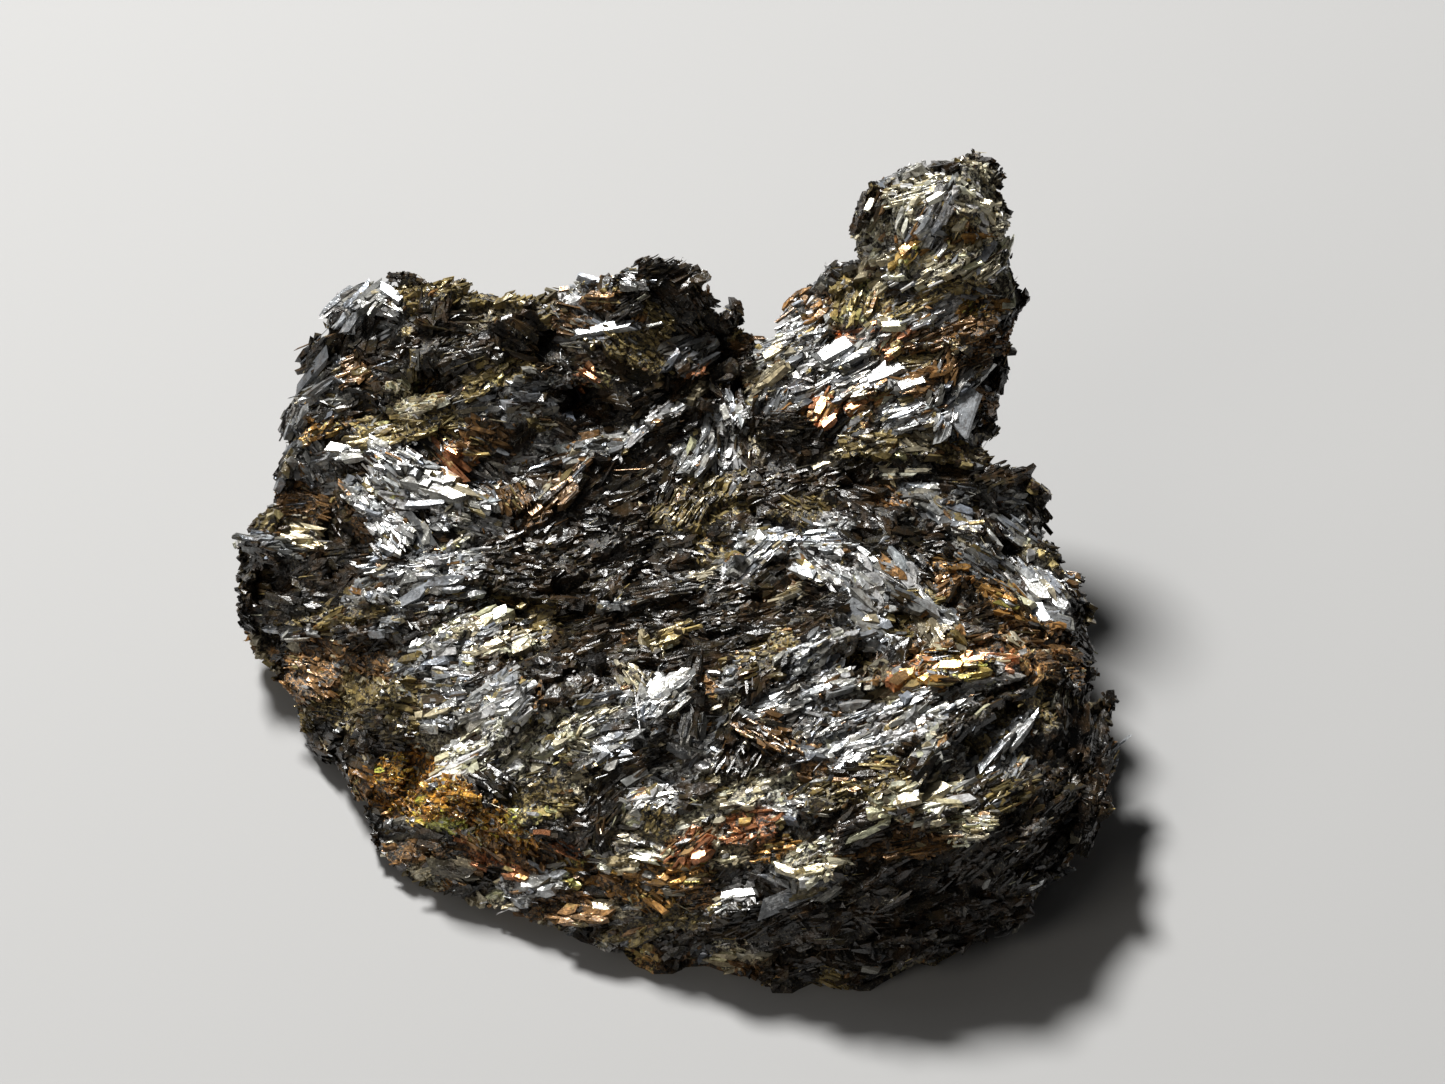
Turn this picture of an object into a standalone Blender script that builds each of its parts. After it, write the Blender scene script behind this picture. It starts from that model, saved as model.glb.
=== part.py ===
"""Rough nuummite: one broken lump of dark amphibole rock, about 53 x 45 x 27 mm, lying on a flat break.

A high ridge stands along the back left and a knobbed horn rises at the back right, with a low saddle
between. A hollow crosses the middle. In front of it the stone swells into a broad roll that ends in a steep
dark face at the right and thins out to a low edge at the left. The whole skin is bladed crystals in sheaves,
which break into shingled ledges, splintered edges and pits.

All sizes below are millimetres. The mesh is in metres, +Z up, and the stone is seen from the -Y side.
"""

import math

import bmesh
import bpy
import numpy as np

MM = 0.001

# Plan outline and the height of the wall's top there: x, y, height, anticlockwise from the right.
RIM = [
    (23.9, -1.9, 10.5), (22.1, 2.9, 11.0), (21.0, 6.3, 12.0), (19.0, 8.7, 13.0), (17.3, 9.8, 14.5),
    (18.4, 12.0, 15.0), (17.4, 15.2, 15.5), (14.0, 17.4, 15.5), (10.6, 17.2, 18.6), (8.6, 17.0, 19.4),
    (6.0, 14.9, 17.2), (4.3, 14.4, 17.4), (2.4, 14.8, 19.4), (0.6, 15.5, 21.6), (-3.8, 15.4, 21.5),
    (-7.8, 15.0, 19.8), (-13.0, 15.4, 20.0), (-16.1, 15.8, 20.0), (-18.8, 16.6, 19.6), (-20.6, 15.2, 18.2),
    (-22.2, 12.5, 15.2), (-23.0, 9.8, 12.4), (-24.6, 7.2, 10.6), (-25.2, 4.9, 9.0), (-24.4, 2.4, 7.0),
    (-22.5, 0.3, 5.2), (-21.6, -3.0, 3.4), (-19.3, -6.5, 2.8), (-17.2, -10.5, 2.6), (-15.3, -14.2, 2.4),
    (-11.2, -16.3, 2.6), (-7.2, -18.3, 2.6), (-3.8, -19.5, 2.8), (2.0, -20.6, 4.2), (5.5, -21.2, 6.2),
    (9.5, -21.4, 8.6), (12.5, -20.6, 9.6), (15.3, -19.4, 10.2), (19.3, -17.6, 9.8), (22.5, -14.8, 9.0),
    (23.8, -12.2, 8.8), (24.3, -10.0, 9.2), (23.6, -7.1, 10.0), (22.8, -3.9, 10.2),
]
PLAN_CENTRE = (0.0, -1.0)

# Heights inside the rim, one for each landform that the eye picks out: x, y, height.
LANDFORMS = [
    (-16.0, 13.0, 18.8), (-9.0, 13.0, 19.2), (-3.0, 13.2, 20.4), (-19.5, 10.5, 14.6), (-13.5, 9.5, 16.0),
    (-9.5, 9.0, 15.2), (-3.5, 9.5, 15.4), (2.0, 8.1, 13.6), (6.6, 11.1, 16.8), (11.0, 12.6, 17.6),
    (16.4, 9.7, 15.8), (10.0, 7.0, 14.4), (-21.0, 5.5, 10.2), (-16.4, 4.4, 11.8), (-21.0, 1.9, 7.8),
    (-10.0, 3.6, 11.6), (-3.8, 2.4, 10.8), (3.0, 2.0, 11.4), (13.5, 1.3, 13.2), (19.5, 2.0, 11.8),
    (-17.0, -2.0, 8.6), (-10.0, -3.0, 9.6), (-2.5, -3.4, 10.4), (6.0, -4.0, 12.2), (14.0, -5.5, 13.0),
    (20.0, -6.0, 12.2), (-14.5, -8.0, 7.8), (-8.4, -9.6, 10.2), (-1.5, -10.4, 11.6), (4.9, -11.8, 13.0),
    (11.5, -13.0, 13.2), (17.5, -12.0, 12.6), (21.5, -11.0, 11.2), (-12.6, -12.6, 5.8), (-7.5, -14.2, 7.0),
    (-2.6, -15.6, 8.0), (3.0, -16.6, 9.2), (8.4, -17.8, 11.0), (13.6, -17.2, 11.8), (-14.8, -11.4, 4.4),
]

# The horn, as overlapping lumps from its shoulder to its tip: centre and half-sizes.
HORN = [
    ((13.6, 12.6, 13.6), (5.6, 4.8, 4.6)),
    ((14.6, 14.4, 17.0), (4.7, 3.9, 4.2)),
    ((16.0, 16.0, 18.6), (4.2, 3.6, 3.8)),
    ((15.6, 17.4, 21.3), (4.5, 3.5, 4.0)),
    ((16.1, 18.3, 23.3), (3.5, 2.8, 2.9)),
]
HORN_ROWS = 24
LUMP_POLE = 0.03

# Share of the rim's radius that the foot keeps, by bearing in degrees from +X.
FOOT = [
    (0, 0.88), (30, 0.94), (55, 1.06), (80, 1.12), (100, 1.08), (118, 1.16), (140, 1.04), (170, 0.90),
    (200, 0.92), (235, 0.95), (270, 0.99), (297, 1.04), (318, 1.02), (335, 0.93),
]
FOOT_CURVE = 1.7
WALL_BULGE = 0.025
BELOW_BREAK = 0.7
ROWS_TOP, ROWS_WALL, ROWS_FOOT, COLUMNS = 60, 24, 30, 240

# Share of the radius at the innermost row of the top and of the foot.
MIDDLE_SHARE = 0.005

# Bearing of the crystals' long axes in plan, in degrees from +X: x, y, bearing.
GRAIN = [
    (-9.0, 14.0, 12.0), (-17.0, 13.0, 60.0), (-15.0, 8.0, 20.0), (-6.0, 8.0, -40.0), (-17.0, 4.0, -38.0),
    (-20.0, -1.0, -20.0), (-9.0, 1.0, 30.0), (-1.0, 5.0, 78.0), (8.0, 11.5, 42.0), (13.0, 15.0, 60.0),
    (17.0, 8.0, 28.0), (12.0, 2.0, -24.0), (19.0, 0.0, -32.0), (1.0, -3.0, 16.0), (-13.0, -6.0, 24.0),
    (-8.0, -11.0, 50.0), (2.0, -12.0, 34.0), (12.0, -8.0, 14.0), (18.0, -10.0, 34.0), (9.0, -18.0, 28.0),
    (-3.0, -17.0, -26.0), (-12.0, -14.0, -30.0),
]
GRAIN_REACH = 2.5

# Fineness of the skin that the ledges are broken into.
CORE_VOXEL = 0.42

# Ledges: long cells of the skin, each a tilted flat that steps up or down from the next. The first row is
# for the broad breaks of the stone and the second for its crystal sheaves. Each gives a cell's area, its
# reach along, across and deep, its greatest step, and its greatest slope along and across.
LEDGES = [
    (34.0, (5.0, 2.8, 3.4), 0.62, (0.10, 0.16)),
    (7.0, (3.0, 1.0, 1.5), 0.52, (0.16, 0.36)),
]
LEDGE_SWING = 20
LEDGE_LIMIT = 0.95
LEDGE_BATCH = 2000

# Bladed crystals that stand out of the skin: least and greatest length, width, thickness and lift in
# degrees, how deep a middle is sunk, and how far an end may stand out of the skin.
BLADES = 440
BLADE_LENGTH = (3.4, 7.0)
BLADE_WIDTH = (1.1, 2.1)
BLADE_THICKNESS = (0.8, 1.3)
BLADE_LIFT = (2, 15)
BLADE_SUNK = 0.22
BLADE_PROUD = 0.85
BLADE_SWING = 16
BLADE_ROLL = 18
BLADE_LEAST_HEIGHT = 1.4

# Blades keep off skin that faces down more steeply than this upward part of its normal.
BLADE_LEAST_UPWARD = -0.6

# Along a blade: share of the length, of the width and of the thickness.
BLADE_STATIONS = [
    (-0.5, 0.28, 0.5), (-0.34, 0.9, 1.0), (0.12, 1.0, 1.0), (0.38, 0.8, 0.9), (0.5, 0.3, 0.35),
]
BLADE_SECTION = [(0.5, 0.0), (0.3, 0.5), (-0.3, 0.5), (-0.5, 0.0), (-0.3, -0.5), (0.3, -0.5)]

# Pits broken into the top: centre and half-sizes.
PITS = [
    ((-13.0, 14.2, 17.6), (1.2, 1.6, 1.3)),
    ((-15.2, 11.0, 16.0), (2.4, 1.3, 1.5)),
    ((-5.2, 10.6, 15.6), (2.2, 1.2, 1.4)),
    ((-4.4, 1.6, 10.4), (3.4, 1.3, 1.2)),
    ((3.4, 12.4, 16.0), (1.1, 2.0, 1.6)),
    ((18.4, 4.4, 11.8), (3.4, 0.8, 1.3)),
    ((-9.2, -8.2, 9.2), (2.6, 0.9, 1.0)),
]
PIT_ROWS = 10

FUSE_VOXEL = 0.33
FACE_BUDGET = 9300
SEED = 1982

# Smallest distance and length that are told from nothing.
NO_DISTANCE = 1e-6
NO_LENGTH = 1e-9


def clear_scene():
    for old in list(bpy.data.objects):
        bpy.data.objects.remove(old, do_unlink=True)


def unit(vectors):
    """Each row scaled to length one."""
    return vectors / np.maximum(np.linalg.norm(vectors, axis=-1, keepdims=True), NO_LENGTH)


def rim_radius(bearing):
    """Distance from the plan centre to the rim at each bearing, straight between the outline's points."""
    offset = np.array(RIM)[:, :2] - PLAN_CENTRE
    corner = np.unwrap(np.arctan2(offset[:, 1], offset[:, 0]))
    return np.interp(bearing, corner, np.hypot(offset[:, 0], offset[:, 1]), period=2 * math.pi)


def foot_share(bearing):
    """Share of the rim's radius that the foot keeps at each bearing."""
    table = np.array(FOOT)
    return np.interp(bearing, np.radians(table[:, 0]), table[:, 1], period=2 * math.pi)


def plate_bend(distance):
    """The bending curve of a thin plate: distance squared times its logarithm."""
    return distance**2 * np.log(np.maximum(distance, NO_DISTANCE))


def top_height(places):
    """Height of the top at each x, y: a thin plate bent through every rim and landform height."""
    spots = np.array(RIM + LANDFORMS)
    count = len(spots)
    between = np.linalg.norm(spots[:, None, :2] - spots[None, :, :2], axis=2)
    flat = np.column_stack([np.ones(count), spots[:, :2]])
    system = np.block([[plate_bend(between), flat], [flat.T, np.zeros((3, 3))]])
    weights = np.linalg.solve(system, np.append(spots[:, 2], np.zeros(3)))
    away = np.linalg.norm(places[:, None, :] - spots[None, :, :2], axis=2)
    return plate_bend(away) @ weights[:count] + weights[count] + places @ weights[count + 1:]


def body_rows():
    """Rows of points round the body: out over the top, down the wall and in under the foot."""
    bearing = np.linspace(0, 2 * math.pi, COLUMNS, endpoint=False)
    spoke = np.column_stack([np.cos(bearing), np.sin(bearing)]) * rim_radius(bearing)[:, None]
    rows = []
    for share in np.linspace(MIDDLE_SHARE, 1, ROWS_TOP):
        plan = PLAN_CENTRE + spoke * share
        rows.append(np.column_stack([plan, top_height(plan)]))
    rim_height = rows[-1][:, 2]
    drawn_in = 1 - foot_share(bearing)[:, None]
    for drop in np.linspace(0, 1, ROWS_WALL)[1:]:
        reach = 1 - drawn_in * drop**FOOT_CURVE + WALL_BULGE * math.sin(math.pi * drop)
        height = rim_height * (1 - drop) - BELOW_BREAK * drop
        rows.append(np.column_stack([PLAN_CENTRE + spoke * reach, height]))
    foot = rows[-1][:, :2] - PLAN_CENTRE
    for share in np.linspace(1, MIDDLE_SHARE, ROWS_FOOT)[1:]:
        rows.append(np.column_stack([PLAN_CENTRE + foot * share, np.full(COLUMNS, -BELOW_BREAK)]))
    return np.array(rows)


def lump_rows(centre, half_sizes, rows):
    """Rows of points round an ellipsoid, from its top to its bottom."""
    down = np.linspace(LUMP_POLE, math.pi - LUMP_POLE, rows)[:, None]
    turn = np.linspace(0, 2 * math.pi, 2 * rows, endpoint=False)[None, :]
    upward = np.cos(down) + 0 * turn
    ball = np.stack([np.sin(down) * np.cos(turn), np.sin(down) * np.sin(turn), upward], axis=-1)
    return centre + ball * half_sizes


def blade_rows(middle, along, upright, length, width, thickness):
    """Rows of points along one bladed crystal: a flat six-sided bar that narrows to a chisel at each end."""
    across = np.cross(upright, along)
    return np.array([
        [
            middle + along * length * run + across * width * wide * side + upright * thickness * tall * rise
            for side, rise in BLADE_SECTION
        ]
        for run, wide, tall in BLADE_STATIONS
    ])


def closed_skin(rows):
    """Points and outward faces of a skin that closes round its columns, with a cap on each end."""
    count, columns, _ = rows.shape
    points = rows.reshape(-1, 3)
    row, column = np.meshgrid(np.arange(count - 1), np.arange(columns), indexing="ij")
    after = (column + 1) % columns
    here, ahead = row * columns, (row + 1) * columns
    quads = np.stack([here + column, ahead + column, ahead + after, here + after], axis=-1).reshape(-1, 4)
    last_row = range(columns * (count - 1), columns * count)
    faces = quads.tolist() + [list(range(columns)), list(reversed(last_row))]
    corner = points[quads]
    facing = np.cross(corner[:, 2] - corner[:, 0], corner[:, 3] - corner[:, 1])
    outwards = (facing * (corner.mean(1) - points.mean(0))).sum() > 0
    return points, faces if outwards else [face[::-1] for face in faces]


def mesh_object(name, skins):
    """One object from several closed skins, each given as its points and faces."""
    points, faces, first = [], [], 0
    for skin_points, skin_faces in skins:
        points.append(skin_points)
        faces += [[first + corner for corner in face] for face in skin_faces]
        first += len(skin_points)
    mesh = bpy.data.meshes.new(name)
    mesh.from_pydata((np.concatenate(points) * MM).tolist(), [], faces)
    made = bpy.data.objects.new(name, mesh)
    bpy.context.scene.collection.objects.link(made)
    return made


def finished_mesh(shape):
    """The mesh that an object's modifiers make. The object itself goes."""
    bpy.context.view_layer.update()
    graph = bpy.context.evaluated_depsgraph_get()
    mesh = bpy.data.meshes.new_from_object(shape.evaluated_get(graph))
    bpy.data.objects.remove(shape, do_unlink=True)
    return mesh


def fuse(shape, voxel):
    """Makes one skin round everything in the object."""
    skin = shape.modifiers.new("fuse", "REMESH")
    skin.mode = "VOXEL"
    skin.voxel_size = voxel * MM


def pit(shape):
    """Breaks the pits into the object, with a helper that is taken away from it."""
    cutter = mesh_object("pit_cutter", [closed_skin(lump_rows(*hollow, PIT_ROWS)) for hollow in PITS])
    cutter.hide_render = True
    cutter.display_type = "WIRE"
    hollows = shape.modifiers.new("pits", "BOOLEAN")
    hollows.operation = "DIFFERENCE"
    hollows.solver = "EXACT"
    hollows.object = cutter


def read_skin(mesh):
    """Points, unit normals and faces of a mesh, in millimetres."""
    points = np.empty(len(mesh.vertices) * 3, np.float32)
    normals = np.empty(len(mesh.vertices) * 3, np.float32)
    mesh.vertices.foreach_get("co", points)
    mesh.vertex_normals.foreach_get("vector", normals)
    faces = [list(face.vertices) for face in mesh.polygons]
    return points.reshape(-1, 3).astype(float) / MM, unit(normals.reshape(-1, 3).astype(float)), faces


def grain(places, normals):
    """Unit long axis of the crystals at each place, laid in the skin."""
    spots = np.array(GRAIN)
    away = np.linalg.norm(places[:, None, :2] - spots[None, :, :2], axis=2)
    pull = 1 / (away**2 + GRAIN_REACH**2) ** 2
    doubled = np.radians(2 * spots[:, 2])
    bearing = 0.5 * np.arctan2(pull @ np.sin(doubled), pull @ np.cos(doubled))
    axis = np.column_stack([np.cos(bearing), np.sin(bearing), np.zeros(len(places))])
    return unit(axis - (axis * normals).sum(1, keepdims=True) * normals)


def turned(axis, other, degrees):
    """The axis turned towards the other, which is square to it."""
    angle = np.radians(degrees)[:, None]
    return axis * np.cos(angle) + other * np.sin(angle)


def ledged(points, normals, area, reach, height, slope, random):
    """The skin broken into ledges: each point rises by the step and the tilt of the cell that it lies in."""
    chosen = random.choice(len(points), int(len(points) * CORE_VOXEL**2 / area), replace=False)
    middle, upright = points[chosen], normals[chosen]
    along = grain(middle, upright)
    along = turned(along, np.cross(upright, along), random.normal(0, LEDGE_SWING, len(chosen)))
    axes = np.stack([along, np.cross(upright, along), upright], axis=1)
    step = random.uniform(-height, height, len(chosen))
    tilt = random.uniform(-1, 1, (len(chosen), 2)) * slope
    moved = points.copy()
    for start in range(0, len(points), LEDGE_BATCH):
        part = slice(start, start + LEDGE_BATCH)
        offset = np.einsum("pcx,cax->pca", points[part, None, :] - middle[None, :, :], axes)
        cell = ((offset / reach) ** 2).sum(2).argmin(1)
        inside = offset[np.arange(len(cell)), cell, :2]
        rise = step[cell] + (tilt[cell] * inside).sum(1)
        moved[part] += normals[part] * np.clip(rise, -LEDGE_LIMIT, LEDGE_LIMIT)[:, None]
    return moved


def stands_out(place, points, normals):
    """How far a place lies outside the skin, along the normal of the skin's nearest point."""
    nearest = ((points - place) ** 2).sum(1).argmin()
    return normals[nearest] @ (place - points[nearest])


def scattered_blades(points, normals, random):
    """Bladed crystals laid along the grain, half sunk in the skin, one end lifted a little out of it."""
    open_skin = np.flatnonzero((points[:, 2] > BLADE_LEAST_HEIGHT) & (normals[:, 2] > BLADE_LEAST_UPWARD))
    chosen = random.choice(open_skin, BLADES, replace=False)
    upright = normals[chosen]
    middle = points[chosen] - upright * BLADE_SUNK
    along = grain(middle, upright)
    along = turned(along, np.cross(upright, along), random.normal(0, BLADE_SWING, BLADES))
    lift = random.uniform(*BLADE_LIFT, BLADES) * random.choice([-1, 1], BLADES)
    along, upright = turned(along, upright, lift), turned(upright, -along, lift)
    upright = turned(upright, np.cross(along, upright), random.normal(0, BLADE_ROLL, BLADES))
    sizes = [random.uniform(*limits, BLADES) for limits in (BLADE_LENGTH, BLADE_WIDTH, BLADE_THICKNESS)]
    blades = [blade_rows(*blade) for blade in zip(middle, along, upright, *sizes)]
    return [
        closed_skin(rows) for rows in blades
        if max(stands_out(end.mean(0), points, normals) for end in (rows[0], rows[-1])) < BLADE_PROUD
    ]


def thinned(shape):
    """Brings the object's mesh down to the face budget."""
    bpy.context.view_layer.update()
    whole = shape.evaluated_get(bpy.context.evaluated_depsgraph_get()).data
    faces = sum(len(face.vertices) - 2 for face in whole.polygons)
    thin = shape.modifiers.new("thin", "DECIMATE")
    thin.ratio = FACE_BUDGET / faces


def broken_flat(mesh):
    """Cuts the mesh off at the break it lies on, closes the cut and keeps only the stone itself."""
    work = bmesh.new()
    work.from_mesh(mesh)
    whole = work.verts[:] + work.edges[:] + work.faces[:]
    bmesh.ops.bisect_plane(work, geom=whole, plane_co=(0, 0, 0), plane_no=(0, 0, -1), clear_outer=True)
    open_edges = [edge for edge in work.edges if edge.is_boundary]
    bmesh.ops.triangle_fill(work, edges=open_edges, use_beauty=True)
    bmesh.ops.triangulate(work, faces=work.faces[:])
    left = set(work.verts)
    shells = []
    while left:
        shell, ahead = set(), [left.pop()]
        while ahead:
            vertex = ahead.pop()
            shell.add(vertex)
            beside = {edge.other_vert(vertex) for edge in vertex.link_edges} & left
            left -= beside
            ahead += beside
        shells.append(shell)
    stone = max(shells, key=len)
    bmesh.ops.delete(work, geom=[vertex for vertex in work.verts if vertex not in stone], context="VERTS")
    bmesh.ops.recalc_face_normals(work, faces=work.faces[:])
    work.to_mesh(mesh)
    work.free()


def centred(mesh):
    """Moves the mesh so that the middle of its box's underside is the origin."""
    points = np.empty(len(mesh.vertices) * 3, np.float32)
    mesh.vertices.foreach_get("co", points)
    points = points.reshape(-1, 3)
    low, high = points.min(0), points.max(0)
    points -= np.array([(low[0] + high[0]) / 2, (low[1] + high[1]) / 2, low[2]], np.float32)
    mesh.vertices.foreach_set("co", points.ravel())
    mesh.update()


def dark_amphibole():
    """Near-black stone with a wet-looking shine."""
    material = bpy.data.materials.new("dark_amphibole")
    material.use_nodes = True
    surface = material.node_tree.nodes["Principled BSDF"]
    surface.inputs["Base Color"].default_value = (0.055, 0.050, 0.040, 1.0)
    surface.inputs["Roughness"].default_value = 0.34
    surface.inputs["Metallic"].default_value = 0.1
    return material


def build():
    clear_scene()
    random = np.random.default_rng(SEED)
    horn = [closed_skin(lump_rows(*lump, HORN_ROWS)) for lump in HORN]
    core = mesh_object("core", [closed_skin(body_rows())] + horn)
    fuse(core, CORE_VOXEL)
    pit(core)
    fuse(core, CORE_VOXEL)
    points, normals, faces = read_skin(finished_mesh(core))
    for area, reach, height, slope in LEDGES:
        points = ledged(points, normals, area, reach, height, slope, random)
    rough = mesh_object("rough", [(points, faces)] + scattered_blades(points, normals, random))
    fuse(rough, FUSE_VOXEL)
    thinned(rough)
    mesh = finished_mesh(rough)
    broken_flat(mesh)
    centred(mesh)
    mesh.name = "nuummite"
    mesh.materials.clear()
    mesh.materials.append(dark_amphibole())
    bpy.context.scene.collection.objects.link(bpy.data.objects.new("nuummite", mesh))


build()
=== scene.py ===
"""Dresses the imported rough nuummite: a broken skin over the solid, bladed crystals in sheaves, needles and grains.

The stone's big forms come from the frame. This script lays the crystals of the rock on them. Each sheaf shares
one direction, one tilt and one finish, so that its flat cleavage faces flash or go dark together.
"""

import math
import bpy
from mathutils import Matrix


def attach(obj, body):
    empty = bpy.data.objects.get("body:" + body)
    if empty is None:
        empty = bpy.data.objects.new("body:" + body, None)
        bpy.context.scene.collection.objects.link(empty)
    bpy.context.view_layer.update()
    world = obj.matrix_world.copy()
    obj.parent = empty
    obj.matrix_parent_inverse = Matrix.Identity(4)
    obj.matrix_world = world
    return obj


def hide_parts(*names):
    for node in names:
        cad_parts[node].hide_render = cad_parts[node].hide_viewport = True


bl_info = {
    "name": "Rough Nuummite Dresser",
    "version": (1, 0, 0),
    "blender": (4, 5, 0),
    "location": "View3D > Sidebar > Nuummite",
    "description": "Dresses the nuummite solid with its broken skin, crystal blades, needles and iron stain",
    "category": "Object",
}

import bpy
import numpy as np
from bpy.props import FloatProperty, FloatVectorProperty, IntProperty, PointerProperty
from mathutils import Vector

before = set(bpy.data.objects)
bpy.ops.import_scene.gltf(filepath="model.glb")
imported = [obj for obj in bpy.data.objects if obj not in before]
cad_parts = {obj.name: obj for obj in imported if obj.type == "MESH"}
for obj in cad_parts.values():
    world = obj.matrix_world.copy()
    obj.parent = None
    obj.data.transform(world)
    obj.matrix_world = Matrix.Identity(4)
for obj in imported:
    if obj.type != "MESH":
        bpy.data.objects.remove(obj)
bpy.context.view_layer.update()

MM = 0.001
STONE = "nuummite"
BODY = "root"
PIECE_LIMIT = 190_000
SEED = 7

# The photograph's frame in pixels, and the camera that saw the stone in it.
PHOTO_WIDTH, PHOTO_HEIGHT = 1445, 1084
CAMERA_TARGET = Vector((3.3 * MM, 0.0, 14.1 * MM))
SENSOR_WIDTH = 36.0

# Each light's place, width and colour.
LIGHTS = {
    "key": ((-0.17, 0.25, 0.49), 0.13, (1.0, 0.99, 0.97)),
    "soft": ((-0.34, 0.20, 0.52), 0.50, (0.95, 0.97, 1.0)),
    "fill": ((-0.34, -0.30, 0.34), 0.30, (1.0, 0.94, 0.86)),
}
SKY_COLOUR = (0.98, 0.99, 1.0, 1.0)
FLOOR_HALF_WIDTH = 0.6
FLOOR_ROUGHNESS = 0.9

# Finishes that a sheaf can have. Silver and cream are painted glint: pale colours that stand for the white flash of
# dark cleavage faces at the mirror angle, over a metallic shine that the lights really reflect.
DARK, SILVER_PAINTED_GLINT, CREAM_PAINTED_GLINT, BRONZE, OLIVE, COPPER, GOLD, RUST, STRAW = range(9)
FINISH_NAMES = ["dark", "silver_painted_glint", "cream_and_painted_glint", "bronze", "olive", "copper", "gold", "rust", "straw"]

# Columns of the two tables below, after the pixel across and down.
LONG, WIDE, TURN, KIND, GLINT = range(2, 7)
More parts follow.
